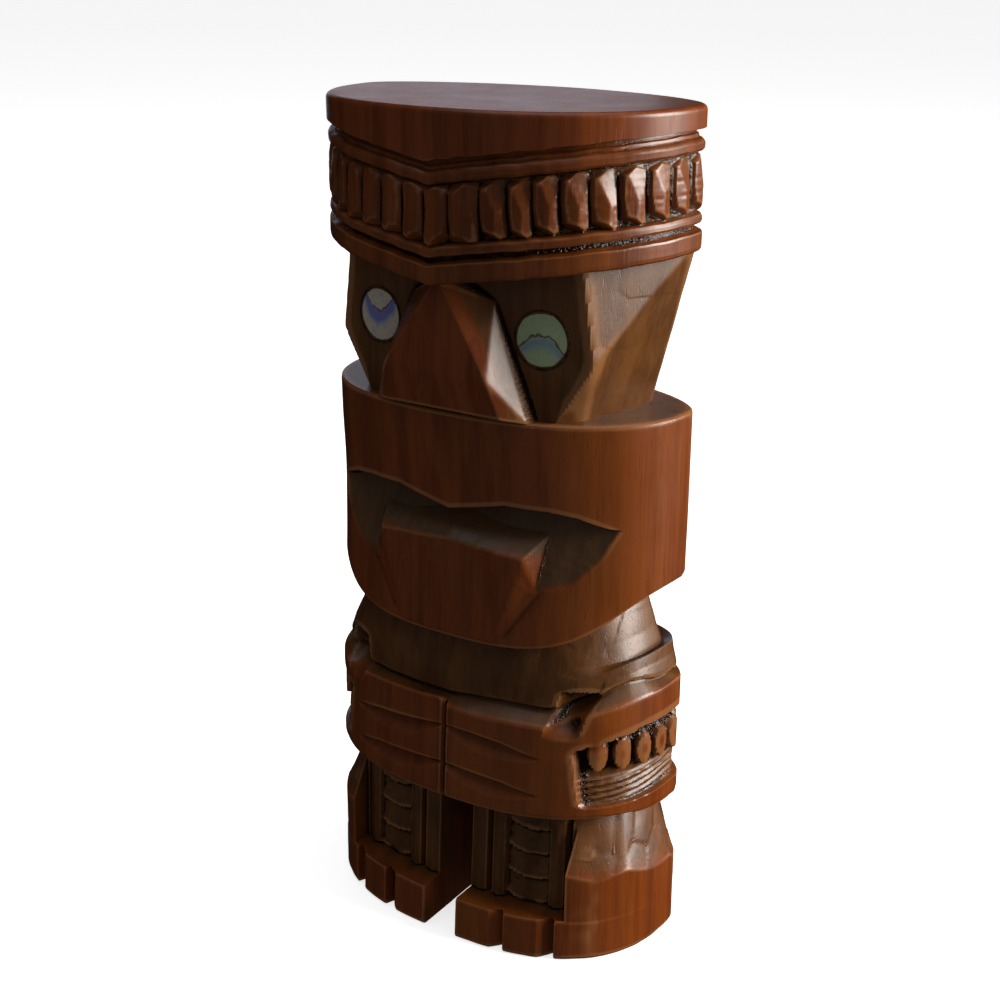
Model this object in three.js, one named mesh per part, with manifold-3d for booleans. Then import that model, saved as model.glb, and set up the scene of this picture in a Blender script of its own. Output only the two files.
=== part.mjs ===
// Tekoteko: a small standing figure carved from one length of wood, with two round shell eyes let
// into the face. Millimetres, +Z up, the front of the figure faces -Y, and the origin is on the
// ground under the middle of its box. The solids are made about the line of greatest width, and
// each mesh then stands PLAN_SHIFT further back.
//
// The wood is roughed out as a stack of oval rings, one body from the sole to the crown, and then
// carved as the carver does: facets for the face, a nose and a tongue left standing, a sunk mouth,
// finger grooves, a sunk forearm band, shins with posts and ladders, and toes.

import * as THREE from 'three';
import { ConvexGeometry } from 'three/addons/geometries/ConvexGeometry.js';
import { mergeVertices } from 'three/addons/utils/BufferGeometryUtils.js';
import Module from 'manifold-3d';

const wasm = await Module();
wasm.setup();

// Driving dimensions

const HEIGHT = 180;
const HALF_WIDTH = { sole: 41, waist: 40.7, crown: 40.8 };
const FRONT_DEPTH = { sole: 32.1, waist: 29, lips: 26.8, ledge: 28.4, crown: 33.8 };
const BACK_DEPTH = { sole: 16.8, jaw: 15, crown: 16.8 };
const FRONT_POWER = { sole: 2.5, waist: 2.7, jaw: 2.25, crown: 2.25 };
const BACK_POWER = 1.8;
const LEFT_FULLER = 0.2;
const PLAN_SHIFT = (FRONT_DEPTH.crown - BACK_DEPTH.crown) / 2;

// Heights of the bands, each at the middle of the front, from the ground up
const FOOT_TOP = 9.8;
const KNEE = 20;
const ARMS_LOW = 33.6;
const ARMS_TOP = 55.3;
const CREASE = 58.4;
const SHOULDER = 62.3;
const NAPE = 66.8;
const CHIN = 71;
const LEDGE = 120.1;
const BROW_LOW = 146.5;
const BROW_HIGH = 150.3;
const LOWER_RIB = 152.1;
const PANEL_LOW = 154;
const PANEL_HIGH = 165.2;
const UPPER_RIB_LOW = 165.9;
const UPPER_RIB_HIGH = 168.1;
const SLAB_LOW = 170.1;

// How far the carving goes in from the oval, by place
const GROOVE = 1.7;
const PANEL = 0.7;
const SHIN = 6;
const KNEE_IN = 5.6;
const NECK = 4.2;
const BELLY = 2.6;
const CREASE_IN = 3.4;
const CORE = 13;
const EDGE = 0.9;

// Eyes
const EYE = { x: 19.65, y: -23.2, z: 136.4, radius: 5.65, thickness: 1.4, turn: 8, proud: 0.3 };
const SOCKET_GAP = 0.3;

const SEGMENTS = 48;
const FAR = 60;
const TINY = 1e-4;

// Lines that rise or fall across the front, as height over distance from the middle

const curve = (stops) => (x) => {
  const at = Math.abs(x);
  const next = stops.findIndex(([stop]) => stop >= at);
  if (next === -1) return stops.at(-1)[1];
  if (next === 0) return stops[0][1];
  const [x0, z0] = stops[next - 1];
  const [x1, z1] = stops[next];
  return z0 + ((z1 - z0) * (at - x0)) / (x1 - x0);
};

const browRise = curve([[0, 0], [9, 1.5], [20, 2.9], [41, 5.6]]);
const kneeRise = curve([[28, 0], [41, -4]]);
const armsTopRise = curve([[0, 1], [10, 0], [24, 0], [34, 0.8], [38, 4], [41, 7.5]]);
const chinRise = (x) => 13 * (Math.abs(x) / HALF_WIDTH.waist) ** 3.6;
const lipHeight = curve([[0, 99.2], [5, 100.3], [13, 102], [22, 101.8], [28, 100.8], [34.5, 98.4]]);
const underlipHeight = curve([[0, 83.8], [20, 84.1], [26.6, 85.7], [31.6, 91.5], [34.5, 98.2]]);
const level = () => 0;

// The oval section of the figure at a height

const sectionAt = (z) => {
  const along = (stops) => curve(stops)(z);
  return {
    width: along([[0, HALF_WIDTH.sole], [60, HALF_WIDTH.waist], [HEIGHT, HALF_WIDTH.crown]]),
    front: along([
      [0, FRONT_DEPTH.sole], [60, FRONT_DEPTH.waist], [100, FRONT_DEPTH.lips],
      [LEDGE, FRONT_DEPTH.ledge], [BROW_LOW, FRONT_DEPTH.crown],
    ]),
    back: along([
      [0, BACK_DEPTH.sole], [60, BACK_DEPTH.sole], [CHIN + 12, BACK_DEPTH.jaw],
      [LEDGE, BACK_DEPTH.jaw], [BROW_LOW, BACK_DEPTH.crown],
    ]),
    power: along([
      [0, FRONT_POWER.sole], [60, FRONT_POWER.waist], [CHIN + 9, FRONT_POWER.jaw],
      [HEIGHT, FRONT_POWER.crown],
    ]),
    fuller: along([[60, 0], [CHIN + 9, LEFT_FULLER], [LEDGE, LEFT_FULLER], [BROW_LOW, 0]]),
  };
};

// Width, depth and power of the quarter that a point or a direction falls in
const quarter = (z, x, y, inset = { front: 0, side: 0, back: 0 }) => {
  const section = sectionAt(z);
  const width = section.width - inset.side;
  if (y > 0) return { width, depth: section.back - inset.back, power: BACK_POWER };
  const power = section.power + (x < 0 ? section.fuller : 0);
  return { width, depth: section.front - inset.front, power };
};

// A point on that oval, by the angle of the even parameter that also spaces the stack's corners
const onOval = (z, angle, inset) => {
  const across = Math.cos(angle);
  const deep = Math.sin(angle);
  const { width, depth, power } = quarter(z, across, deep, inset);
  return [
    width * Math.sign(across) * Math.abs(across) ** (2 / power),
    depth * Math.sign(deep) * Math.abs(deep) ** (2 / power),
  ];
};

// A point on that oval by its true bearing from the middle, counted from +X towards the back
const atBearing = (z, bearing) => {
  const across = Math.cos(bearing);
  const deep = Math.sin(bearing);
  const { width, depth, power } = quarter(z, across, deep);
  const reach = ((Math.abs(across) / width) ** power + (Math.abs(deep) / depth) ** power)
    ** (-1 / power);
  return new THREE.Vector2(reach * across, reach * deep);
};

const frontAt = (x, z) => {
  const { width, depth, power } = quarter(z, x, -1);
  return -depth * (1 - Math.min(Math.abs(x) / width, 1) ** power) ** (1 / power);
};

// Solids

const solidOf = (geometry) => {
  const bare = geometry.index ? geometry.toNonIndexed() : geometry.clone();
  bare.deleteAttribute('normal');
  bare.deleteAttribute('uv');
  const merged = mergeVertices(bare, TINY);
  const corners = merged.index.array;
  const kept = [];
  for (let i = 0; i < corners.length; i += 3) {
    const [a, b, c] = [corners[i], corners[i + 1], corners[i + 2]];
    if (a !== b && b !== c && c !== a) kept.push(a, b, c);
  }
  const mesh = new wasm.Mesh({
    numProp: 3,
    vertProperties: new Float32Array(merged.attributes.position.array),
    triVerts: new Uint32Array(kept),
  });
  return new wasm.Manifold(mesh);
};

const joined = (solids) => solids.reduce((whole, solid) => whole.add(solid));

// A ring of the rough carving: its height at the middle, how far it is cut in at the front, side
// and back, and the line it follows across the figure. Behind the widest line it stays level.
const ring = (height, front = 0, side = front, back = side, rise = level, through = false) => (
  { height, inset: { front, side, back }, rise, through }
);

// A closed stack of rings, turned as a lathe would and then pressed to the oval
const stack = (rings) => {
  const profile = [
    new THREE.Vector2(0, rings[0].height),
    ...rings.map(({ height }) => new THREE.Vector2(1, height)),
    new THREE.Vector2(0, rings.at(-1).height),
  ];
  const geometry = new THREE.LatheGeometry(profile, SEGMENTS);
  const place = geometry.attributes.position;
  for (let i = 0; i <= SEGMENTS; i += 1) {
    const angle = (2 * Math.PI * (i % SEGMENTS)) / SEGMENTS;
    for (let j = 0; j < profile.length; j += 1) {
      const atPole = j === 0 || j === profile.length - 1;
      const { height, inset, rise, through } = rings[Math.min(Math.max(j - 1, 0), rings.length - 1)];
      const [x, y] = atPole ? [0, 0] : onOval(height, angle, inset);
      const followed = through || y < 0 ? x : HALF_WIDTH.waist;
      place.setXYZ(i * profile.length + j, x, y, height + (atPole ? rise(0) : rise(followed)));
    }
  }
  return solidOf(geometry);
};

// An outline in (x, z), carried from the front of the figure to a given depth
const seenFromFront = (outline, near = -FAR, far = FAR) => {
  const geometry = new THREE.ExtrudeGeometry(
    new THREE.Shape(outline.map(([x, z]) => new THREE.Vector2(x, z))),
    { depth: far - near, bevelEnabled: false, steps: 1 },
  );
  return solidOf(geometry.rotateX(Math.PI / 2).translate(0, far, 0));
};

const block = (x0, x1, y0, y1, z0, z1) => solidOf(
  new THREE.BoxGeometry(x1 - x0, y1 - y0, z1 - z0)
    .translate((x0 + x1) / 2, (y0 + y1) / 2, (z0 + z1) / 2),
);

const hull = (points) => solidOf(
  new ConvexGeometry(points.map(([x, y, z]) => new THREE.Vector3(x, y, z))),
);

const mirrored = (points) => [...points, ...points.map(([x, y, z]) => [-x, y, z])];

const bothSides = (make) => joined([make(1), make(-1)]);

// The rough figure, ring by ring from the sole to the crown

const roughFigure = () => stack([
  ring(0, EDGE),
  ring(EDGE, 0),
  ring(FOOT_TOP + 4, 0),
  ring(KNEE, 0, 0, 0, kneeRise),
  ring(ARMS_LOW, KNEE_IN, KNEE_IN, 2),
  ring(ARMS_LOW + 0.1, 1.2, 1.2, 0),
  ring(ARMS_LOW + 2, 0),
  ring(44, 0),
  ring(ARMS_TOP, 0, 0, 0, armsTopRise),
  ring(CREASE, CREASE_IN, 0.8, 0.6, armsTopRise),
  ring(SHOULDER, BELLY, 2.6, 2, armsTopRise),
  ring(NAPE, BELLY, 5.4, 4, armsTopRise),
  ring(CHIN - 0.3, NECK, 7.4, 5.4, chinRise, true),
  ring(CHIN, 0.4, 0, 0, chinRise, true),
  ring(CHIN + 15, 0),
  ring(100, 0),
  ring(LEDGE - 0.5, 0),
  ring(LEDGE, 0.5),
  ring(LEDGE + 0.1, CORE, CORE, CORE - 3),
  ring(BROW_LOW - 0.1, CORE, CORE, CORE - 3, browRise),
  ring(BROW_LOW, 0.6, 0.6, 0.6, browRise),
  ring(BROW_LOW + 0.8, 0, 0, 0, browRise),
  ring(BROW_HIGH, 0, 0, 0, browRise),
  ring(BROW_HIGH + 0.4, GROOVE, GROOVE, GROOVE, browRise),
  ring(LOWER_RIB - 0.3, GROOVE, GROOVE, GROOVE, browRise),
  ring(LOWER_RIB, 0.2, 0.2, 0.2, browRise),
  ring(PANEL_LOW - 0.2, 0.2, 0.2, 0.2, browRise),
  ring(PANEL_LOW, PANEL, PANEL, PANEL, browRise),
  ring(PANEL_HIGH, PANEL, PANEL, PANEL, browRise),
  ring(PANEL_HIGH + 0.2, GROOVE, GROOVE, GROOVE, browRise),
  ring(UPPER_RIB_LOW - 0.1, GROOVE, GROOVE, GROOVE, browRise),
  ring(UPPER_RIB_LOW + 0.2, 0.2, 0.2, 0.2, browRise),
  ring(UPPER_RIB_HIGH - 0.2, 0.2, 0.2, 0.2, browRise),
  ring(UPPER_RIB_HIGH, GROOVE, GROOVE, GROOVE, browRise),
  ring(SLAB_LOW - 0.4, GROOVE, GROOVE, GROOVE, browRise),
  ring(SLAB_LOW, 0, 0, 0, browRise),
  ring(HEIGHT - 0.8, 0),
  ring(HEIGHT, 0.7),
]);

// The face: flat fields beside the nose, a cheek facet at each side, and all of it drawn in below
const face = () => hull([
  [0, -25.96, BROW_LOW + 2],
  [0, -25.96, LEDGE - 1],
  [0, 16, BROW_LOW + 4],
  [0, 11.5, LEDGE - 1],
  ...mirrored([
    [27.3, -22.1, BROW_LOW + 5.5],
    [30.3, -21.7, 132.2],
    [40.3, 1, BROW_LOW + 6.5],
    [36.5, 7.5, BROW_LOW + 6.5],
    [25.4, -17.2, LEDGE - 1],
    [30, 2, LEDGE - 1],
    [25, 7.5, LEDGE - 1],
    [20.5, -23.1, LEDGE - 1],
  ]),
]);

const nose = () => hull([
  [0, -30.4, BROW_LOW + 1.5],
  [0, -31.2, 141.3],
  [0, -14, BROW_LOW + 1.5],
  ...mirrored([
    [9.7, -24.8, 143],
    [12.3, -31.9, 129],
    [14.4, -30, LEDGE + 1],
    [18.4, -25.9, LEDGE - 0.2],
    [10, -14, 143],
    [17, -14, LEDGE - 0.2],
  ]),
]);

// Eye discs and their sockets

const eyeDisc = (side, radius, thickness) => {
  const geometry = new THREE.CylinderGeometry(radius, radius, thickness, 32);
  geometry.translate(0, thickness / 2 - EYE.proud, 0);
  geometry.rotateZ(THREE.MathUtils.degToRad(side * EYE.turn));
  return geometry.translate(side * EYE.x, EYE.y, EYE.z);
};

const eyeSockets = () => bothSides((side) => (
  solidOf(eyeDisc(side, EYE.radius + SOCKET_GAP, 2 * (EYE.thickness + SOCKET_GAP)))
));

// The mouth: sunk deep under the upper lip, its floor running out to the surface at the lower edge

const MOUTH_DEPTH = 6.5;
const MOUTH_CORNER = 34.5;
const MOUTH_STEPS = 24;

const mouth = () => {
  const across = Array.from({ length: MOUTH_STEPS + 1 }, (_, i) => (
    MOUTH_CORNER * (2 * i / MOUTH_STEPS - 1)
  ));
  const lips = across.map((x) => [x, lipHeight(x)]);
  const underlip = across.slice(1, -1).reverse().map((x) => [x, underlipHeight(x)]);
  const opening = seenFromFront([...underlip, ...lips].reverse(), -FAR, -6);
  const inLine = (depth, height) => ring(height, depth, depth * 0.5, 0);
  const floor = stack([
    inLine(0, 70),
    inLine(0.05, 84.2),
    inLine(MOUTH_DEPTH, 98.5),
    inLine(MOUTH_DEPTH, 106),
  ]);
  return opening.subtract(floor);
};

const tongue = () => hull([
  [0, -27.9, 92.8],
  [0, -28.4, CHIN + 0.9],
  [0, -20.5, 98.4],
  [0, -12, 98.4],
  [0, -12, CHIN + 3],
  ...mirrored([
    [17.8, -26.6, 91.6],
    [15, -27.6, 82],
    [11, -28.2, CHIN + 1.4],
    [22, -17.5, 98],
    [20, -24.6, 84],
    [12.8, -27.2, CHIN + 1.8],
    [18, -12, 84],
    [11, -12, CHIN + 3],
  ]),
]);

// Fingers: two long leaf-shaped grooves in each hand, and a line between the hands

const FINGER_GROOVES = [
  { inner: 50.9, outer: 48, width: 3.3, depth: 3 },
  { inner: 41.8, outer: 39.3, width: 3.3, depth: 3 },
];
const FINGER_REACH = 23;
const FINGER_STATIONS = [0.02, 0.2, 0.42, 0.65, 0.86];

const fingerGroove = (side, { inner, outer, width, depth }) => {
  const slices = FINGER_STATIONS.map((part) => {
    const full = Math.sin(Math.PI * part ** 0.75) ** 0.8;
    const x = side * FINGER_REACH * part;
    const z = inner + (outer - inner) * part;
    const y = frontAt(x, z);
    return [
      [x, y - depth, z + 0.3],
      [x, y - depth, z - 2 * width * full],
      [x, y + depth * full, z - 0.55 * width * full],
    ];
  });
  const tip = [side * FINGER_REACH, frontAt(side * FINGER_REACH, outer) - 0.2, outer];
  return joined(slices.slice(1).map((slice, i) => hull([...slices[i], ...slice]))
    .concat(hull([...slices.at(-1), tip])));
};

const handLine = () => block(-0.5, 0.5, -FAR, -27.4, ARMS_LOW - 2, CREASE - 1);

// Arms: a leaf-shaped hollow in the crook of each elbow, a gouge cut beside it, and a sunk band of
// ovals on the forearm

const crook = (side) => hull([
  [side * 30.4, -24, 58.8],
  [side * 43, -16.5, 56.2],
  [side * 43, -16.5, 70],
  [side * 46, -4, 59],
  [side * 46, -4, 66],
  [side * 42, 1, 61.8],
  [side * 33.8, -14.5, 60.6],
  [side * 37, -6, 61.4],
]);

const elbowGouge = (side) => {
  const geometry = new THREE.CylinderGeometry(3.3, 3.3, 14, 16);
  geometry.rotateX(THREE.MathUtils.degToRad(52));
  geometry.rotateZ(THREE.MathUtils.degToRad(side * 34));
  return solidOf(geometry.translate(side * 27.4, -27.2, 56.4));
};

const OVALS = { count: 6, first: -32.4, step: 7.6, tall: 7.6, wide: 3.4, middle: 48.6, sunk: 1.7 };

const forearmBand = (side) => {
  const outline = [
    [30.6, 41.7], [37.7, 44.7], [FAR, 44.2], [FAR, 54.7], [38.8, 54.4], [35.9, 53.5], [28, 50],
  ];
  const band = seenFromFront(
    side > 0 ? outline : outline.map(([x, z]) => [-x, z]).reverse(), -FAR, 12,
  );
  const inner = stack([
    ring(ARMS_LOW, OVALS.sunk), ring(ARMS_TOP + 8, OVALS.sunk),
  ]);
  const ovals = Array.from({ length: OVALS.count }, (_, i) => {
    const geometry = new THREE.CylinderGeometry(OVALS.wide / 2, OVALS.wide / 2, 70, 10);
    geometry.scale(1, 1, OVALS.tall / OVALS.wide);
    geometry.rotateZ(Math.PI / 2).translate(side * 35, 0, 0);
    geometry.rotateZ(side * THREE.MathUtils.degToRad(OVALS.first + i * OVALS.step));
    return solidOf(geometry.translate(0, 0, OVALS.middle));
  });
  return band.subtract(inner).subtract(joined(ovals));
};

// Legs: a gap between them, shins cut back between the arms and the feet

const LEG_GAP = 4.3;
const SHIN_EDGE = 28.4;
const POST_GAPS = [8.4, 26.4];
const POST_GAP_WIDTH = 1.2;
const LADDER = { from: 12.6, to: 23, rungs: 4, sunk: 1.4 };

const shins = () => {
  const window = seenFromFront([
    [-SHIN_EDGE, FOOT_TOP], [SHIN_EDGE, FOOT_TOP], [SHIN_EDGE, ARMS_LOW], [-SHIN_EDGE, ARMS_LOW],
  ], -FAR, -8);
  return window.subtract(stack([ring(0, SHIN), ring(ARMS_LOW + 5, SHIN)]));
};

const shinDetails = () => {
  const deeper = stack([ring(0, SHIN + LADDER.sunk), ring(ARMS_LOW + 5, SHIN + LADDER.sunk)]);
  const cuts = bothSides((side) => {
    const strip = (x0, x1, z0, z1) => {
      const [a, b] = [side * x0, side * x1].sort((p, q) => p - q);
      return block(a, b, -FAR, -8, z0, z1);
    };
    const slots = POST_GAPS.map((x) => strip(x, x + POST_GAP_WIDTH, FOOT_TOP, ARMS_LOW));
    const pitch = (ARMS_LOW - FOOT_TOP) / LADDER.rungs;
    const rungs = Array.from({ length: LADDER.rungs }, (_, i) => (
      strip(LADDER.from, LADDER.to, FOOT_TOP + i * pitch, FOOT_TOP + (i + 0.55) * pitch)
    ));
    return joined([...slots, ...rungs]);
  });
  return cuts.subtract(deeper);
};

const legGap = () => block(-LEG_GAP, LEG_GAP, -FAR, FAR, -1, ARMS_LOW - 1);

const TOE_GROOVES = [15.2, 26];

const toes = () => bothSides((side) => joined(TOE_GROOVES.map((x) => {
  const y = frontAt(side * x, 5);
  const low = [-1, FOOT_TOP + 2];
  return hull(low.flatMap((z) => [
    [side * (x - 2.4), y - 3, z], [side * (x + 2.4), y - 3, z], [side * x, y + 2.6, z],
  ]));
})));

// The row of faceted lozenges round the headband: what is cut away between two of them

const LOZENGES = { step: 8.1, waist: 0.5, wide: 4.2, sunk: 2.2, reach: 110 };

const lozengeGaps = () => {
  const middle = (PANEL_LOW + PANEL_HIGH) / 2;
  const count = Math.floor(LOZENGES.reach / LOZENGES.step);
  const inner = stack([ring(PANEL_LOW - 3, LOZENGES.sunk), ring(PANEL_HIGH + 9, LOZENGES.sunk)]);
  const cuts = [];
  for (let i = -count; i < count; i += 1) {
    const bearing = THREE.MathUtils.degToRad((i + 0.5) * LOZENGES.step - 90);
    const place = atBearing(middle, bearing);
    const across = atBearing(middle, bearing + 0.01).sub(place).normalize();
    const rise = browRise(place.y < 0 ? place.x : HALF_WIDTH.waist);
    for (const end of [PANEL_LOW, PANEL_HIGH]) {
      const corner = (half, z, reach) => {
        const { x, y } = place.clone().multiplyScalar(reach).addScaledVector(across, half);
        return [x, y, z + rise];
      };
      cuts.push(hull([0.9, 1.1].flatMap((reach) => [
        corner(LOZENGES.waist / 2, middle, reach), corner(-LOZENGES.waist / 2, middle, reach),
        corner(LOZENGES.wide / 2, end, reach), corner(-LOZENGES.wide / 2, end, reach),
      ])));
    }
  }
  return joined(cuts).subtract(inner);
};

// The carved wood

const carvedFigure = () => joined([roughFigure(), face(), nose()])
  .subtract(eyeSockets())
  .subtract(mouth())
  .add(tongue())
  .subtract(lozengeGaps())
  .subtract(joined(FINGER_GROOVES.flatMap((groove) => [
    fingerGroove(1, groove), fingerGroove(-1, groove),
  ])))
  .subtract(handLine())
  .subtract(bothSides(crook))
  .subtract(bothSides(elbowGouge))
  .subtract(bothSides(forearmBand))
  .subtract(shins())
  .subtract(shinDetails())
  .subtract(toes())
  .subtract(legGap());

// The scene

const geometryOf = (solid) => {
  const { vertProperties, triVerts } = solid.getMesh();
  const geometry = new THREE.BufferGeometry();
  geometry.setAttribute('position', new THREE.BufferAttribute(vertProperties, 3));
  geometry.setIndex(new THREE.BufferAttribute(triVerts, 1));
  geometry.computeVertexNormals();
  return geometry;
};

const finish = (color, roughness) => (
  new THREE.MeshStandardMaterial({ color, roughness, metalness: 0, flatShading: true })
);

const meshOf = (name, geometry, material) => {
  const mesh = new THREE.Mesh(geometry, material);
  mesh.name = name;
  mesh.position.y = PLAN_SHIFT;
  return mesh;
};

const group = new THREE.Group();
group.add(meshOf('carved_figure', geometryOf(carvedFigure()), finish(0x7a3b1a, 0.42)));
group.add(meshOf('left_eye_shell', eyeDisc(-1, EYE.radius, EYE.thickness), finish(0x6f7fa8, 0.2)));
group.add(meshOf('right_eye_shell', eyeDisc(1, EYE.radius, EYE.thickness), finish(0xa9c4ae, 0.2)));

export default group;
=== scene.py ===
"""Looks of a carved tekoteko, a small standing figure cut from one length of varnished wood.

The wood is made as a few closed skins that meet in the carved grooves: the crown slab, the
headband with its row of lozenges, the face and nose, the jaw with mouth and tongue, the torso
with its arms, and two legs. Two domed shell discs are let into the face. Sizes are in
millimetres, measured from the line of greatest width, and turned into metres when a mesh is
made.
"""

import logging
import math
from dataclasses import dataclass, field
from enum import Enum

import bpy
import numpy as np
from mathutils import Matrix, Vector

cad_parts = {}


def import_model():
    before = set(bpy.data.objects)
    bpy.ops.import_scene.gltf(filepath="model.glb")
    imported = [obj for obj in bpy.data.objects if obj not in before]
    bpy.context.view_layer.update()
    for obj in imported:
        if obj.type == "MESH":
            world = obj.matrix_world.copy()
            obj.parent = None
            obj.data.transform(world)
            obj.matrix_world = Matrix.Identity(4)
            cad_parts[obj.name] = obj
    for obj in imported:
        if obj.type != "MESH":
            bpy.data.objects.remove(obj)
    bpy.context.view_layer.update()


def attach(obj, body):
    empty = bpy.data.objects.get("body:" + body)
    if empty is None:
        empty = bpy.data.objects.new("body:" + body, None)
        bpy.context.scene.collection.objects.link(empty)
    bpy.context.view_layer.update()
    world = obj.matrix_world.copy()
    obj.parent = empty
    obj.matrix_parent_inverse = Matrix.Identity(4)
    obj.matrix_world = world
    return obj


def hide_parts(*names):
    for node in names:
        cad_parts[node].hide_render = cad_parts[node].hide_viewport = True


LOG = logging.getLogger("tekoteko")
MM = 0.001
PLAN_SHIFT = 8.5
Array = np.ndarray
Stops = tuple[tuple[float, float], ...]


class Side(Enum):
    """The two sides of the figure, as the sign of X."""

    LEFT = -1
    RIGHT = 1


# Shapes by formula


def eased(at: Array, stops: Stops, half: float = 0.0) -> Array:
    """Straight lines through the stops, each corner rounded by a mean over at - half .. at + half.

    Args:
        at: Where the line is read.
        stops: Pairs of place and value, in rising order of place.
        half: Half of the width that each mean covers.

    Returns:
        The value at each place.
    """
    places, values = np.array(stops, dtype=float).T
    if half == 0.0:
        return np.interp(at, places, values)
    shifts = np.linspace(-half, half, 9)
    return np.mean([np.interp(at + shift, places, values) for shift in shifts], axis=0)


def ramp(at: Array, low: float, high: float) -> Array:
    """0 below low, 1 above high, and 3t^2 - 2t^3 between them."""
    t = np.clip((at - low) / (high - low), 0.0, 1.0)
    return t * t * (3 - 2 * t)


def soft_least(a: Array, b: Array, width: float) -> Array:
    """The smaller of a and b, with the edge between them rounded over width."""
    share = np.clip(0.5 + 0.5 * (b - a) / width, 0.0, 1.0)
    return b + (a - b) * share - width * share * (1 - share)


def soft_most(a: Array, b: Array, width: float) -> Array:
    """The larger of a and b, with the edge between them rounded over width."""
    return -soft_least(-a, -b, width)


def ripple(u: Array, v: Array, seed: int) -> Array:
    """Smooth noise from -1 to 1: random heights on a unit lattice, joined by 3t^2 - 2t^3."""
    table = np.random.default_rng(seed).uniform(-1, 1, (64, 64))
    iu, iv = np.floor(u).astype(int), np.floor(v).astype(int)
    tu, tv = u - iu, v - iv
    su, sv = tu * tu * (3 - 2 * tu), tv * tv * (3 - 2 * tv)
    low = table[iu % 64, iv % 64] * (1 - su) + table[(iu + 1) % 64, iv % 64] * su
    high = table[iu % 64, (iv + 1) % 64] * (1 - su) + table[(iu + 1) % 64, (iv + 1) % 64] * su
    return low * (1 - sv) + high * sv


def knife_cuts(u: Array, v: Array, seed: int, lean: float = 0.35) -> Array:
    """Height of a surface left from the knife: flat cuts, each tilted its own way.

    A unit lattice carries one cut a cell, off the cell's middle by chance. A point belongs to the
    nearest cut, and its height is the squared distance to the cut's middle plus the cut's tilt
    times the way to it.

    Args:
        u: Place across, in cuts.
        v: Place up, in cuts.
        seed: Seed of the chances.
        lean: The largest tilt.

    Returns:
        Heights about zero, up to about 0.5.
    """
    chance = np.random.default_rng(seed).uniform(-1, 1, (4, 64, 64))
    iu, iv = np.floor(u).astype(int), np.floor(v).astype(int)
    nearest = np.full(np.shape(u), 9.0)
    height = np.zeros(np.shape(u))
    for du in (-1, 0, 1):
        for dv in (-1, 0, 1):
            ju, jv = (iu + du) % 64, (iv + dv) % 64
            to_u = iu + du + 0.5 + 0.32 * chance[0, ju, jv] - u
            to_v = iv + dv + 0.5 + 0.32 * chance[1, ju, jv] - v
            far = to_u**2 + to_v**2
            here = far * 0.6 + lean * (to_u * chance[2, ju, jv] + to_v * chance[3, ju, jv])
            height = np.where(far < nearest, here, height)
            nearest = np.minimum(nearest, far)
    return height


def blurred(points: Array, across: int, up: int) -> Array:
    """Mean of each point's neighbours on a skin that closes round on itself.

    Args:
        points: Rows by columns by three.
        across: How many columns the mean reaches each way.
        up: How many rows it reaches each way.

    Returns:
        The means, in the same order.
    """
    wide = np.concatenate([points[:, -across:], points, points[:, :across]], axis=1)
    total = np.cumsum(np.insert(wide, 0, 0.0, axis=1), axis=1)
    wide = (total[:, 2 * across + 1:] - total[:, :-2 * across - 1]) / (2 * across + 1)
    tall = np.concatenate([wide[:1].repeat(up, 0), wide, wide[-1:].repeat(up, 0)], axis=0)
    total = np.cumsum(np.insert(tall, 0, 0.0, axis=0), axis=0)
    return (total[2 * up + 1:] - total[:-2 * up - 1]) / (2 * up + 1)


def outward(points: Array) -> Array:
    """Unit normals of a skin: the way along its rows crossed with the way up its columns."""
    across = np.roll(points, -1, axis=1) - np.roll(points, 1, axis=1)
    up = np.gradient(points, axis=0)
    normal = np.cross(across, up)
    return normal / np.maximum(np.linalg.norm(normal, axis=2, keepdims=True), 1e-9)


@dataclass(frozen=True)
class Rays:
    """Where each upright column of a skin starts in plan, and the way it looks out."""

    start: Array
    way: Array

    @classmethod
    def between(cls, starts: Array, targets: Array) -> "Rays":
        """Rays from starts towards targets, both as rows of x and y."""
        way = np.asarray(targets, float) - np.asarray(starts, float)
        return cls(np.asarray(starts, float), way / np.linalg.norm(way, axis=1, keepdims=True))

    @classmethod
    def star(cls, bearings: Array) -> "Rays":
        """Rays from the middle, by bearing in degrees from the front, growing towards +X."""
        angle = np.radians(bearings)
        way = np.stack([np.sin(angle), -np.cos(angle)], axis=1)
        return cls(np.zeros_like(way), way)

    @classmethod
    def about_line(cls, half: float, y: float, step: float, fan: int, back: int) -> "Rays":
        """Rays about a line across the figure: straight ahead in front, fans at its two ends.

        Args:
            half: Half of the line's length.
            y: Where the line lies.
            step: Space between the columns in front.
            fan: Columns in each fan.
            back: Columns straight back.

        Returns:
            The rays, in the order that goes round the figure with the outside on the right.
        """
        front = np.linspace(-half, half, int(2 * half / step) + 1)
        turn = np.radians(np.linspace(-90, 90, fan + 2)[1:-1])
        behind = np.linspace(half, -half, back)
        starts = np.concatenate([
            np.stack([front, np.full_like(front, y)], 1),
            np.tile([half, y], (fan, 1)),
            np.stack([behind, np.full_like(behind, y)], 1),
            np.tile([-half, y], (fan, 1)),
        ])
        ways = np.concatenate([
            np.tile([0.0, -1.0], (len(front), 1)),
            np.stack([np.cos(turn), np.sin(turn)], 1),
            np.tile([0.0, 1.0], (back, 1)),
            np.stack([-np.cos(turn), -np.sin(turn)], 1),
        ])
        return cls(starts, ways)

    def at(self, reach: Array, height: Array) -> Array:
        """Points at a reach along each ray and at a height, as rows by columns by three."""
        plan = self.start + reach[..., None] * self.way
        return np.concatenate([plan, height[..., None]], axis=2)


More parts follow.
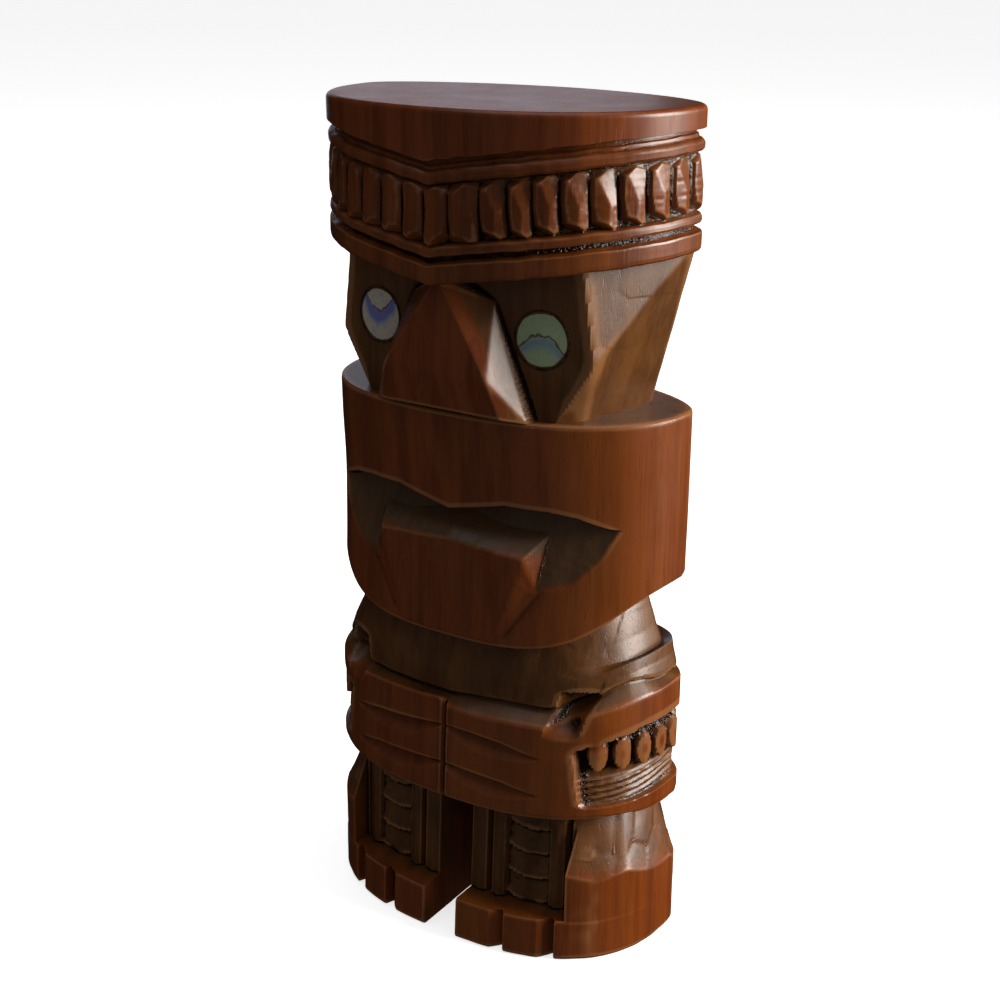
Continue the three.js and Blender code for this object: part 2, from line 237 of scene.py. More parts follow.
@dataclass(frozen=True)
class Oval:
    """The oval section of the figure by height: |x / width|^p + |y / depth|^p = 1.

    The power p and the depth differ in front and behind, and the front's power is a little
    greater on the left, where the section is fuller.
    """

    width: Stops = ((0, 41), (60, 40.7), (180, 40.8))
    front: Stops = ((0, 32.1), (60, 29), (100, 26.8), (120.1, 28.4), (146.5, 33.8))
    back: Stops = ((0, 16.8), (60, 16.8), (83, 15), (120.1, 15), (146.5, 16.8))
    front_power: Stops = ((0, 2.5), (60, 2.7), (80, 2.25), (180, 2.25))
    fuller: Stops = ((60, 0), (80, 0.2), (120.1, 0.2), (146.5, 0))
    back_power: float = 1.8
    easing: float = 4.0

    def reach(self, rays: Rays, z: Array, front: Array = 0.0, side: Array = 0.0,
              back: Array = 0.0) -> Array:
        """How far each ray goes to the oval, found by halving the span that holds it.

        Args:
            rays: The rays, one a column.
            z: Heights, rows by columns.
            front: How far the oval is cut in at the front.
            side: The same at the sides.
            back: The same at the back.

        Returns:
            The reach of each ray at each height.
        """
        width = eased(z, self.width, self.easing) - side
        ahead = eased(z, self.front, self.easing) - front
        behind = eased(z, self.back, self.easing) - back
        power = eased(z, self.front_power, self.easing)
        fuller = eased(z, self.fuller, self.easing)
        near, far = np.zeros(np.shape(z)), np.full(np.shape(z), 60.0)
        for _ in range(28):
            middle = (near + far) / 2
            x = rays.start[:, 0] + middle * rays.way[:, 0]
            y = rays.start[:, 1] + middle * rays.way[:, 1]
            depth = np.where(y < 0, ahead, behind)
            p = np.where(y < 0, power + np.where(x < 0, fuller, 0.0), self.back_power)
            inside = (np.abs(x) / width) ** p + (np.abs(y) / depth) ** p < 1
            near, far = np.where(inside, middle, near), np.where(inside, far, middle)
        return (near + far) / 2

    def front_at(self, x: Array, z: Array) -> Array:
        """The y of the oval's front at x and z."""
        width = eased(z, self.width, self.easing)
        power = eased(z, self.front_power, self.easing)
        power = power + np.where(x < 0, eased(z, self.fuller, self.easing), 0.0)
        share = np.clip(1 - (np.abs(x) / width) ** power, 0, 1)
        return -eased(z, self.front, self.easing) * share ** (1 / power)


@dataclass(frozen=True)
class Hull:
    """A closed form with flat facets: normal . point <= offset for every facet."""

    normals: Array
    offsets: Array

    @classmethod
    def around(cls, corners: list[tuple[float, float, float]]) -> "Hull":
        """The facets round corners: each plane through three of them that has none outside."""
        spots = np.array(corners, float)
        count = len(spots)
        trios = np.array([(a, b, c) for a in range(count) for b in range(a + 1, count)
                          for c in range(b + 1, count)])
        first, second, third = spots[trios[:, 0]], spots[trios[:, 1]], spots[trios[:, 2]]
        normal = np.cross(second - first, third - first)
        size = np.linalg.norm(normal, axis=1)
        normal = normal[size > 1e-6] / size[size > 1e-6, None]
        offset = np.sum(normal * first[size > 1e-6], axis=1)
        spread = normal @ spots.T - offset[:, None]
        under, over = spread.max(axis=1) < 1e-6, spread.min(axis=1) > -1e-6
        normal = np.concatenate([normal[under], -normal[over]])
        offset = np.concatenate([offset[under], -offset[over]])
        kept = np.unique(np.round(np.column_stack([normal, offset]), 5), axis=0)
        return cls(kept[:, :3], kept[:, 3])

    @classmethod
    def mirrored(cls, middle: list[tuple[float, float, float]],
                 side: list[tuple[float, float, float]]) -> "Hull":
        """The hull of middle corners and of side corners on both sides of the figure."""
        return cls.around(middle + side + [(-x, y, z) for x, y, z in side])

    def span(self, rays: Rays, z: Array, worn: float) -> tuple[Array, Array]:
        """Where rays enter and leave the form.

        Args:
            rays: The rays, one a column.
            z: Heights, rows by columns.
            worn: How broadly the edges between facets are rounded.

        Returns:
            The reach at which each ray enters, and the reach at which it leaves.
        """
        enter, leave = np.full(np.shape(z), -99.0), np.full(np.shape(z), 99.0)
        for (nx, ny, nz), offset in zip(self.normals, self.offsets):
            slope = nx * rays.way[:, 0] + ny * rays.way[:, 1]
            room = offset - nz * z - nx * rays.start[:, 0] - ny * rays.start[:, 1]
            slope = np.broadcast_to(slope, room.shape)
            safe = np.where(np.abs(slope) < 1e-6, 1e-6, slope)
            hit = room / safe
            leave = np.where(slope > 1e-6, soft_least(leave, np.minimum(hit, 98.0), worn), leave)
            enter = np.where(slope < -1e-6, np.maximum(enter, hit), enter)
            leave = np.where((np.abs(slope) <= 1e-6) & (room < 0), -98.0, leave)
        return enter, leave


@dataclass(frozen=True)
class Ring:
    """A level line of a skin: its height across the figure, and how far it is cut in.

    heights gives height over x in front. Behind, the line runs straight from its left end to its
    right end. rows is the number of rows up to the next ring.
    """

    heights: Stops
    front: float
    side: float
    back: float
    rows: int


def level(height: float) -> Stops:
    """A ring's line at one height."""
    return ((0, height), (1, height))


def lifted(stops: Stops, by: float) -> Stops:
    """A line moved up."""
    return tuple((x, z + by) for x, z in stops)


def both_sides(stops: Stops) -> Stops:
    """A line given from the middle outward, mirrored to both sides."""
    left = tuple((-x, z) for x, z in reversed(stops) if x > 0)
    return left + tuple(stops)


@dataclass
class Skin:
    """A closed surface of rows and columns with flat ends, made a mesh.

    Attributes:
        name: Name of the object.
        points: Rows by columns by three, in millimetres about the line of greatest width.
        tone: 0 for smooth red wood, 1 for carved olive-brown wood, by point; on the headband's left
            side it also carries painted shade.
        feel: How many columns and rows the means for hollows and edges reach.
        crease: Angle past which an edge is drawn sharp.
        grey: How far a place is dulled to grey-brown, by point.
    """

    name: str
    points: Array
    tone: Array
    feel: tuple[int, int] = (4, 4)
    crease: float = 32.0
    grey: Array | None = None

    def convexity(self) -> Array:
        """Distance that each point stands out from the mean of its neighbours, in millimetres."""
        rise = self.points - blurred(self.points, *self.feel)
        return np.sum(rise * outward(self.points), axis=2)

    def make(self) -> bpy.types.Object:
        """Builds the mesh with its tone, hollow, edge and grey attributes, and its object."""
        rows, columns = self.points.shape[:2]
        place = np.roll(np.arange(columns), -1)
        first = np.arange(rows - 1)[:, None] * columns
        here = np.broadcast_to(np.arange(columns), (rows - 1, columns))
        quads = np.stack([
            first + here, first + place, first + columns + place, first + columns + here,
        ], axis=2).reshape(-1, 4)
        ends = [np.arange(columns)[::-1].tolist(),
                ((rows - 1) * columns + np.arange(columns)).tolist()]
        spots = self.points.reshape(-1, 3).copy()
        spots[:, 1] += PLAN_SHIFT
        mesh = bpy.data.meshes.new(self.name)
        mesh.from_pydata((spots * MM).tolist(), [], quads.tolist() + ends)
        stand = self.convexity()
        layers = {
            "tone": self.tone,
            # hollow: how far a place lies below its neighbours; the wood is darkened by it, partly
            # as real stain and partly as painted shade.
            "hollow": np.clip(-stand / 0.45, 0, 1),
            "edge": np.clip(stand / 0.3, 0, 1),
            "grey": np.zeros_like(stand) if self.grey is None else self.grey,
        }
        for title, values in layers.items():
            layer = mesh.attributes.new(title, "FLOAT", "POINT")
            layer.data.foreach_set("value", np.ascontiguousarray(values, np.float32).ravel())
        mesh.shade_smooth()
        mesh.set_sharp_from_angle(angle=math.radians(self.crease))
        mesh.update()
        piece = bpy.data.objects.new(self.name, mesh)
        bpy.context.scene.collection.objects.link(piece)
        return piece


# Materials


class Value:
    """A number on its way through the nodes, so that sums on it can be written as Python."""

    def __init__(self, bench: "Bench", socket: bpy.types.NodeSocket) -> None:
        """Wraps one output socket of a bench's tree."""
        self.bench = bench
        self.socket = socket

    def __add__(self, other: "Value | float") -> "Value":
        """self + other."""
        return self.bench.sum("ADD", self, other)

    def __sub__(self, other: "Value | float") -> "Value":
        """self - other."""
        return self.bench.sum("SUBTRACT", self, other)

    def __rsub__(self, other: float) -> "Value":
        """other - self."""
        return self.bench.sum("SUBTRACT", other, self)

    def __mul__(self, other: "Value | float") -> "Value":
        """self * other."""
        return self.bench.sum("MULTIPLY", self, other)

    def __truediv__(self, other: "Value | float") -> "Value":
        """self / other."""
        return self.bench.sum("DIVIDE", self, other)

    def __pow__(self, other: "Value | float") -> "Value":
        """self ** other."""
        return self.bench.sum("POWER", self, other)

    __radd__ = __add__
    __rmul__ = __mul__

    def held(self) -> "Value":
        """The number, kept between 0 and 1."""
        return self.bench.sum("ADD", self, 0.0, use_clamp=True)


Colour = tuple[float, float, float]


class Bench:
    """The nodes of one material, with a call for each kind of step."""

    def __init__(self, name: str) -> None:
        """Starts an empty material with an output and one Principled shader."""
        self.material = bpy.data.materials.new(name)
        self.material.use_nodes = True
        self.tree = self.material.node_tree
        self.tree.nodes.clear()
        self.shader = self.tree.nodes.new("ShaderNodeBsdfPrincipled")
        ending = self.tree.nodes.new("ShaderNodeOutputMaterial")
        self.tree.links.new(self.shader.outputs["BSDF"], ending.inputs["Surface"])
        self.place = self.node("ShaderNodeTexCoord", {}, {}, "Object")

    def node(self, kind: str, settings: dict, inputs: dict, output: str | int = 0) -> Value:
        """Adds a node.

        Args:
            kind: The node's type.
            settings: Its properties; "stops" gives a ramp's places and colours.
            inputs: Numbers, colours or links, by the socket's name or number.
            output: The socket that is wanted.

        Returns:
            That output, wrapped.
        """
        made = self.tree.nodes.new(kind)
        for key, value in settings.items():
            if key == "stops":
                self._set_stops(made.color_ramp, value)
            else:
                setattr(made, key, value)
        for key, value in inputs.items():
            self.feed(made.inputs[key], value)
        return Value(self, made.outputs[output])

    @staticmethod
    def _set_stops(band: bpy.types.ColorRamp, stops: list[tuple[float, Colour]]) -> None:
        """Puts places and colours into a ramp."""
        while len(band.elements) < len(stops):
            band.elements.new(0.5)
        for element, (at, colour) in zip(band.elements, stops):
            element.position = at
            element.color = (*colour, 1.0)

    def feed(self, socket: bpy.types.NodeSocket, value: object) -> None:
        """Links a wrapped output to a socket, or sets the socket's own number or colour."""
        if isinstance(value, Value):
            self.tree.links.new(value.socket, socket)
        elif isinstance(value, tuple) and len(value) == 3 and socket.type == "RGBA":
            socket.default_value = (*value, 1.0)
        else:
            socket.default_value = value

    def sum(self, kind: str, a: "Value | float", b: "Value | float", **settings: bool) -> Value:
        """One Math node on two numbers."""
        return self.node("ShaderNodeMath", {"operation": kind, **settings}, {0: a, 1: b})

    def between(self, value: Value, low: float, high: float) -> Value:
        """0 where value is below low, 1 above high, and a smooth step between them."""
        return self.node(
            "ShaderNodeMapRange", {"interpolation_type": "SMOOTHSTEP"},
            {"Value": value, "From Min": low, "From Max": high},
        )

    def blend(self, share: "Value | float", a: object, b: object, kind: str = "MIX") -> Value:
        """Colour a turned towards colour b by a share."""
        return self.node(
            "ShaderNodeMix", {"data_type": "RGBA", "blend_type": kind}, {0: share, 6: a, 7: b}, 2,
        )

    def stretched(self, scale: tuple[float, float, float],
                  moved: tuple[float, float, float] = (0, 0, 0)) -> Value:
        """Object coordinates, moved and then multiplied along each axis."""
        shifted = self.node("ShaderNodeVectorMath", {"operation": "ADD"}, {0: self.place, 1: moved})
        return self.node("ShaderNodeVectorMath", {"operation": "MULTIPLY"}, {0: shifted, 1: scale})

    def noise(self, where: Value, scale: float, detail: float = 3.0, rough: float = 0.55,
              twist: float = 0.0) -> Value:
        """Noise from 0 to 1 at a place."""
        return self.node("ShaderNodeTexNoise", {}, {
            "Vector": where, "Scale": scale, "Detail": detail, "Roughness": rough,
            "Distortion": twist,
        }, "Fac")

    def layer(self, title: str) -> Value:
        """A number that the mesh carries by point."""
        return self.node(
            "ShaderNodeAttribute", {"attribute_type": "GEOMETRY", "attribute_name": title}, {},
            "Fac",
        )

    def bump(self, height: Value, strength: float, distance: float,
             below: Value | None = None) -> Value:
        """A normal raised by a height."""
        inputs = {"Height": height, "Strength": strength, "Distance": distance}
        if below is not None:
            inputs["Normal"] = below
        return self.node("ShaderNodeBump", {}, inputs)

    def finish(self, varying: dict, fixed: dict) -> bpy.types.Material:
        """Sets the shader's sockets: varying ones by link, fixed ones by number."""
        for key, value in {**varying, **fixed}.items():
            self.feed(self.shader.inputs[key], value)
        return self.material


@dataclass(frozen=True)
class CarvedWood:
    """Varnished wood: red where it is smooth, olive-brown where it is carved, and dark in hollows,
    partly from the real stain there and partly as painted shade.
    """

    red: Colour = (0.165, 0.0330, 0.0020)
    red_deep: Colour = (0.105, 0.0185, 0.0012)
    amber: Colour = (0.230, 0.0620, 0.0030)
    olive: Colour = (0.110, 0.0400, 0.0055)
    olive_deep: Colour = (0.062, 0.0210, 0.0028)
    grey: Colour = (0.075, 0.0440, 0.0230)
    # Near black of the hollows: partly the real stain, partly painted shade.
    stain_and_shade: Colour = (0.0060, 0.0020, 0.0009)
    worn: Colour = (0.300, 0.1300, 0.0450)

    def material(self) -> bpy.types.Material:
        """Builds the wood.

        Long figure and short pores run up the figure. Carved places turn to olive, hollows to near
        black, partly the real stain there and partly painted shade, and outer edges to bare worn
        wood; the varnish pools in the hollows.

        Returns:
            The material.
        """
        bench = Bench("carved_wood")
        broad = bench.noise(bench.stretched((30, 30, 5)), 1.0, 3.0, 0.5, 0.4)
        figure = bench.noise(bench.stretched((260, 260, 11)), 1.0, 4.0, 0.6, 0.25)
        fine = bench.noise(bench.stretched((1500, 1500, 60)), 1.0, 3.0, 0.6)
        pores = bench.between(bench.noise(bench.stretched((2600, 2600, 170)), 1.0, 2.0, 0.5),
                              0.60, 0.70)
        cloud = bench.noise(bench.stretched((120, 120, 90), (0.3, 0.1, 0.2)), 1.0, 3.0, 0.55)
        tone, hollow = bench.layer("tone"), bench.layer("hollow")
        edge, grey = bench.layer("edge"), bench.layer("grey")

        grain = (figure * 0.75 + fine * 0.25)
        red = bench.blend(bench.between(grain, 0.34, 0.62), self.red_deep, self.red)
        red = bench.blend(bench.between(broad, 0.50, 0.72) * 0.55, red, self.amber)
        olive = bench.blend(bench.between(grain * 0.6 + cloud * 0.4, 0.36, 0.62),
                            self.olive_deep, self.olive)
        colour = bench.blend(tone, red, olive)
        colour = bench.blend(grey, colour, bench.blend(0.55, self.grey, olive))
        colour = bench.blend(pores * 0.35, colour, self.red_deep)
        # Hollows darken towards near black: partly the real stain in the carving, partly painted
        # shade.
        dark = bench.between(hollow + (cloud - 0.5) * 0.25, 0.12, 0.75)
        colour = bench.blend(dark * 0.93, colour, self.stain_and_shade)
        rubbed = bench.between(edge + (cloud - 0.5) * 0.5, 0.35, 1.05)
        colour = bench.blend(rubbed * 0.42, colour, self.worn)

        rough = 0.36 + (fine - 0.5) * 0.16 + (cloud - 0.5) * 0.18 + tone * 0.05 - dark * 0.14
        speck = bench.noise(bench.stretched((1400, 1400, 1100)), 1.0, 2.0, 0.6)
        relief = bench.bump(grain * 0.6 - pores * 0.25 + cloud * 0.5, 0.35, 0.0002)
        relief = bench.bump(speck * dark, 0.9, 0.0009, relief)
        return bench.finish(
            {"Base Color": colour, "Roughness": rough.held(), "Normal": relief},
            {"Coat Weight": 0.12, "Coat Roughness": 0.2, "Specular IOR Level": 0.5},
        )


@dataclass(frozen=True)
class PauaShell:
    """Polished shell with drifting bands of colour and thin brown lines."""

    name: str
    centre: tuple[float, float, float]
    pale: Colour
    cool: Colour
    deep: Colour
    line: Colour = (0.075, 0.045, 0.020)
    bend: float = 1.0

    def material(self) -> bpy.types.Material:
        """Builds the shell: bands on a bent coordinate, two brown lines, a wet coat.

        Returns:
            The material.
        """
        bench = Bench(self.name)
        local = bench.stretched((1000, 1000, 1000), tuple(-c for c in self.centre))
        drift = bench.noise(local, 0.34, 2.0, 0.5, 0.6)
        parts = bench.tree.nodes.new("ShaderNodeSeparateXYZ")
        bench.feed(parts.inputs[0], local)
        across, up = Value(bench, parts.outputs["X"]), Value(bench, parts.outputs["Z"])
        arc = up + across * across * (0.13 * self.bend) + (drift - 0.5) * 3.4
        band = bench.between(arc, -3.6, 3.8)
        colour = bench.node("ShaderNodeValToRGB", {"stops": [
            (0.0, self.pale), (0.30, self.cool), (0.46, self.deep), (0.56, self.cool),
            (0.70, self.pale), (1.0, self.pale),
        ]}, {"Fac": band}, "Color")
        flow = bench.noise(local, 0.9, 3.0, 0.6, 1.2)
        colour = bench.blend(bench.between(flow, 0.45, 0.7) * 0.5, colour, self.cool)
        colour = bench.blend(bench.between(flow, 0.62, 0.8) * 0.35, colour, self.deep)
        near = bench.sum("ABSOLUTE", arc - 0.9, 0.0)
        vein = 1 - bench.between(near, 0.10, 0.42)
        colour = bench.blend(vein * 0.85, colour, self.line)
        wave = bench.bump(flow + drift, 0.25, 0.0003)
        return bench.finish(
            {"Base Color": colour, "Normal": wave},
            {"Roughness": 0.26, "Coat Weight": 0.8, "Coat Roughness": 0.05,
             "Specular IOR Level": 0.6},
        )


@dataclass(frozen=True)
class DarkGumAndShadow:
    """The dark ring round an eye disc: partly a real glue line, partly a painted shadow line between
    shell and wood.
    """

    colour: Colour = (0.020, 0.009, 0.004)

    def material(self) -> bpy.types.Material:
        """Builds the ring: near black, partly glue and partly painted shadow, a little uneven and
        glossy.
        """
        bench = Bench("dark_gum")
        patch = bench.noise(bench.stretched((900, 900, 900)), 1.0, 3.0, 0.6)
        colour = bench.blend(bench.between(patch, 0.35, 0.7), self.colour, (0.06, 0.03, 0.012))
        return bench.finish(
            {"Base Color": colour, "Normal": bench.bump(patch, 0.5, 0.0003)},
            {"Roughness": 0.3, "Coat Weight": 0.3},
        )


@dataclass(frozen=True)
class PaleGround:
    """The plain pale floor."""

    colour: Colour = (0.93, 0.93, 0.93)
    glow: float = 0.70

    def material(self) -> bpy.types.Material:
        """Builds the floor's matt paint, with the faintest cloud in it, lit a little from below."""
        bench = Bench("pale_ground")
        cloud = bench.noise(bench.stretched((3, 3, 3)), 1.0, 2.0, 0.5)
        colour = bench.blend(cloud * 0.04, self.colour, (0.86, 0.86, 0.86))
        return bench.finish({"Base Color": colour}, {
            "Roughness": 0.9, "Specular IOR Level": 0.1, "Emission Color": (1.0, 1.0, 1.0),
            "Emission Strength": self.glow,
        })


def dress(piece: bpy.types.Object, finish: bpy.types.Material, slot: str, *nodes: str) -> None:
    """Gives a piece its material and its body, and hides the nodes that it stands for."""
    piece.data.materials.append(finish)
    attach(piece, "root")
    if nodes:
        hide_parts(*nodes)
    faces = sum(len(face.vertices) - 2 for face in piece.data.polygons)
    LOG.info("%s: %d triangles", piece.name, faces)


# The wood, part by part

BROW_RISE: Stops = both_sides(((0, 0), (9, 1.5), (20, 2.9), (41, 5.6)))


def brow_rise(x: Array, y: Array) -> Array:
    """Rise of the headband's lines: a V over the nose, level behind the widest line."""
    return np.where(y < 0, eased(x, BROW_RISE, 0.8), BROW_RISE[-1][1])


@dataclass(frozen=True)
class Carving:
    """What every part of the wood shares: the oval it is cut from."""

    oval: Oval = field(default_factory=Oval)

    def raised(self, rays: Rays, rings: list[Ring]) -> tuple[Array, Array, Array]:
        """Rows between rings.

        Each ring's height is read where the column meets the oval; heights and cuts run in
        straight lines from ring to ring.

        Args:
            rays: The columns.
            rings: The rings, from the lowest up.

        Returns:
            The heights, the reach, and each row's place counted in rings.
        """
        guess = self.oval.reach(rays, np.full((1, len(rays.way)), 60.0))
        plan = rays.start + guess[0][:, None] * rays.way
        lines = []
        for ring in rings:
            ends = (ring.heights[0][1], ring.heights[-1][1])
            behind = ends[0] + (ends[1] - ends[0]) * (plan[:, 0] + 41) / 82
            ahead = eased(plan[:, 0], ring.heights, 0.3)
            lines.append(np.where(plan[:, 1] < 0, ahead, behind))
        table = np.array(lines)
        places = np.concatenate([
            k + np.arange(ring.rows) / ring.rows for k, ring in enumerate(rings[:-1])
        ] + [[len(rings) - 1.0]])
        low = np.minimum(places.astype(int), len(rings) - 2)
        share = (places - low)[:, None]
        z = table[low] * (1 - share) + table[low + 1] * share

        def cut(values: list[float]) -> Array:
            """A ring value by row."""
            return np.interp(places, np.arange(len(rings)), values)[:, None]

        reach = self.oval.reach(
            rays, z, cut([r.front for r in rings]), cut([r.side for r in rings]),
            cut([r.back for r in rings]),
        )
        return z, reach, places


@dataclass(frozen=True)
class CrownSlab(Carving):
    """The smooth slab on top, its lower edge cut to a V over the nose."""

    low: float = 170.1
    high: float = 180.0
    columns: int = 420
    rounding: float = 1.1
    top_rings: int = 14

    def build(self) -> bpy.types.Object:
        """Side rows from the underside to the rounded edge, then rings in to the middle."""
        rays = Rays.star(np.arange(self.columns) * 360 / self.columns - 180)
        turn = np.linspace(0, math.pi / 2, 7)
        cuts = np.concatenate([
            [4.0, 0.5, 0.15, 0.0], np.zeros(26), self.rounding * (1 - np.cos(turn[1:])),
        ])
        share = np.concatenate([
            [0, 0, 0.012, 0.035], np.linspace(0.035, 1, 27)[1:], np.ones(6),
        ])
        edge = np.concatenate([np.zeros(30), self.rounding * np.sin(turn[1:])])
        around = np.radians(np.arange(self.columns) * 360 / self.columns - 180)
        wide = self.oval.reach(rays, np.full((1, self.columns), 170.0))[0]
        x, y = wide * np.sin(around), -wide * np.cos(around)
        ragged = 0.16 * ripple(x / 2.3, np.zeros_like(x), 3)
        bottom = self.low + brow_rise(x, y) + ragged
        top = self.high - self.rounding
        z = bottom + (top - bottom) * share[:, None] + edge[:, None]
        cut = cuts[:, None] + 0.10 * ripple(x / 9, z / 5, 4) * (share[:, None] > 0)
        reach = self.oval.reach(rays, z, cut, cut, cut)
        inner = 1 - np.linspace(0.02, 0.995, self.top_rings) ** 1.1
        flat = reach[-1] * inner[:, None]
        level_z = np.full_like(flat, self.high)
        plan_x, plan_y = flat * np.sin(around), -flat * np.cos(around)
        level_z = level_z - 0.05 * (1 - inner[:, None]) * (1 + ripple(plan_x / 14, plan_y / 9, 5))
        points = rays.at(np.concatenate([reach, flat]), np.concatenate([z, level_z]))
        tone = np.zeros(points.shape[:2])
        tone[len(reach):] = 0.35
        return Skin("crown_slab", points, tone, (3, 2)).make()


@dataclass(frozen=True)
class Headband(Carving):
    """The band under the slab: two ribs, a row of faceted lozenges, and the brow's edge."""

    low: float = 146.5
    centres: tuple[float, ...] = (
        -132, -124, -116, -108, -99.5, -91, -83, -75, -67, -59, -51, -43, -34.8, -24.9, -15.2,
        -6.5, 2.6, 13.3, 24.7, 32.2, 39.8, 47.9, 56, 64.5, 73, 82, 91, 99.5, 108, 116, 124, 132,
    )
    per_cell: int = 19
    plain: int = 20
    half_width: float = 2.55
    panel: tuple[float, float] = (154.0, 165.3)
    gap: float = 1.9
    step: float = 0.2
    profile: Stops = (
        (146.5, 0.75), (146.65, 0.35), (147.0, 0.08), (147.6, 0.0), (150.0, 0.0), (150.35, 0.12),
        (150.6, 1.0), (150.9, 1.75), (151.6, 1.8), (151.85, 1.0), (152.05, 0.35), (152.5, 0.12),
        (153.2, 0.18), (153.7, 0.45), (153.95, 1.0), (154.2, 1.9), (165.2, 1.9), (165.45, 1.5),
        (165.75, 0.6), (166.2, 0.2), (167.2, 0.15), (167.7, 0.4), (168.05, 0.75), (168.2, 1.35),
        (168.9, 1.5), (169.2, 2.0), (170.0, 2.1), (171.5, 2.1),
    )

    def columns(self) -> tuple[Array, Array, Array]:
        """Bearings of the columns, and each one's lozenge and place across it from -1 to 1."""
        centres = np.array(self.centres)
        bounds = (centres[1:] + centres[:-1]) / 2
        bounds = np.concatenate([[centres[0] - 4], bounds, [centres[-1] + 4]])
        across = np.linspace(-1, 1, self.per_cell, endpoint=False)
        cells = np.repeat(np.arange(len(centres)), self.per_cell)
        place = np.tile(across, len(centres))
        width = bounds[1:] - bounds[:-1]
        bearing = bounds[cells] + (place + 1) / 2 * width[cells]
        rest = np.linspace(bounds[-1], bounds[0] + 360, self.plain, endpoint=False)
        return (
            np.concatenate([bearing, rest]),
            np.concatenate([cells, np.full(self.plain, -1)]),
            np.concatenate([place, np.full(self.plain, -1.0)]),
        )

    def lozenges(self, cell: Array, place: Array, height: Array) -> Array:
        """Depth of the row of lozenges below the band's surface.

        Each lozenge is the least cut of three facets and four flanks: a broad facet towards the
        middle of the front, a facet cut down and outward across its upper outer corner, and a
        narrow one below it. Between two of them lies a rounded gap.

        Args:
            cell: The lozenge of each column, or -1.
            place: Place across it, from -1 to 1.
            height: Height above the panel's middle, rows by columns.

        Returns:
            The depths.
        """
        chance = np.random.default_rng(11).uniform(-1, 1, (6, len(self.centres)))
        centre = np.array(self.centres)[cell]
        hand = np.where(centre < 7, -1.0, 1.0)
        low_relief = np.where((centre < 20) & (centre > -60), 0.55, 1.0)
        u = place * self.half_width * hand + 0.12 * chance[0][cell]
        v = height + 0.25 * chance[1][cell]
        tilt = 1 + 0.25 * chance[2][cell]
        broad = 0.05 + 0.17 * tilt * (0.6 - u)
        ridge_u, ridge_v = 0.55 + 0.2 * chance[3][cell], -0.5 + 0.5 * chance[4][cell]
        corner = 0.12 + 0.40 * tilt * (0.88 * (u - ridge_u) + 0.47 * (v - ridge_v)) \
            + 0.05 * (0.6 - u)
        lower = 0.10 + 0.42 * (u - ridge_u) - 0.05 * (v - ridge_v) * 0.5
        left = 0.35 + 1.7 * (-u - 2.02 - 0.10 * v + 0.045 * np.abs(v + 0.5) ** 1.55)
        right = 0.75 + 1.7 * (u - 1.75 - 0.06 * np.abs(v - 1.0))
        top = 0.5 + 1.6 * (v - 4.95 + 0.42 * np.abs(u - 0.1))
        bottom = 0.5 + 1.6 * (-v - 5.25 + 0.62 * np.abs(u - 1.35))
        cut = soft_most(broad, corner, 0.06)
        cut = soft_most(cut, lower, 0.10)
        for flank in (left, right, top, bottom):
            cut = soft_most(cut, flank, 0.22)
        floor = self.gap - 0.25 * np.cos(np.pi * place) - 0.35 * ramp(v, -5.6, 4.0)
        cut = soft_least(cut * low_relief, floor, 0.25)
        return np.where(cell < 0, 1.5, cut)

    def build(self) -> bpy.types.Object:
        """The band's profile by row, and the lozenges in its panel."""
        bearing, cell, place = self.columns()
        rays = Rays.star(bearing)
        wide = self.oval.reach(rays, np.full((1, len(bearing)), 158.0))[0]
        angle = np.radians(bearing)
        x, y = wide * np.sin(angle), -wide * np.cos(angle)
        stops = np.array([at for at, _ in self.profile])
        levels = np.unique(np.concatenate([
            stops, np.arange(self.low, stops[-1], self.step),
        ]).round(3))
        levels = levels[np.insert(np.diff(levels) > 0.04, 0, True)]
        wobble = 0.13 * ripple(x / 3.1, y / 3.1, 21)
        z = levels[:, None] + brow_rise(x, y) + wobble
        cut = np.interp(levels, *np.array(self.profile).T)[:, None] + np.zeros_like(z)
        cut = cut + 0.12 * ripple(x / 2.0 + 9, z / 1.3, 22) * np.clip(cut, 0.15, 1)
        middle = sum(self.panel) / 2
        inside = ramp(levels, self.panel[0] - 0.1, self.panel[0] + 0.15) \
            * (1 - ramp(levels, self.panel[1] - 0.15, self.panel[1] + 0.1))
        gems = self.lozenges(cell, np.broadcast_to(place, z.shape), levels[:, None] - middle)
        gems = gems + 0.05 * ripple(x / 0.9, z / 0.7, 23)
        cut = cut * (1 - inside[:, None]) + gems * inside[:, None]
        reach = self.oval.reach(rays, z, cut, cut, cut)
        reach = reach * (1 + 0 * z)
        tone = 0.25 + 0.6 * inside[:, None] * ramp(cut, 0.5, 1.6) + np.zeros_like(z)
        # Painted shade: the left side of the band, away from the light, is dulled towards the olive
        # tone.
        tone = np.maximum(tone, 0.4 * ramp(-x, 0, 30))
        return Skin("headband", rays.at(reach, z), tone, (4, 4), 26.0).make()


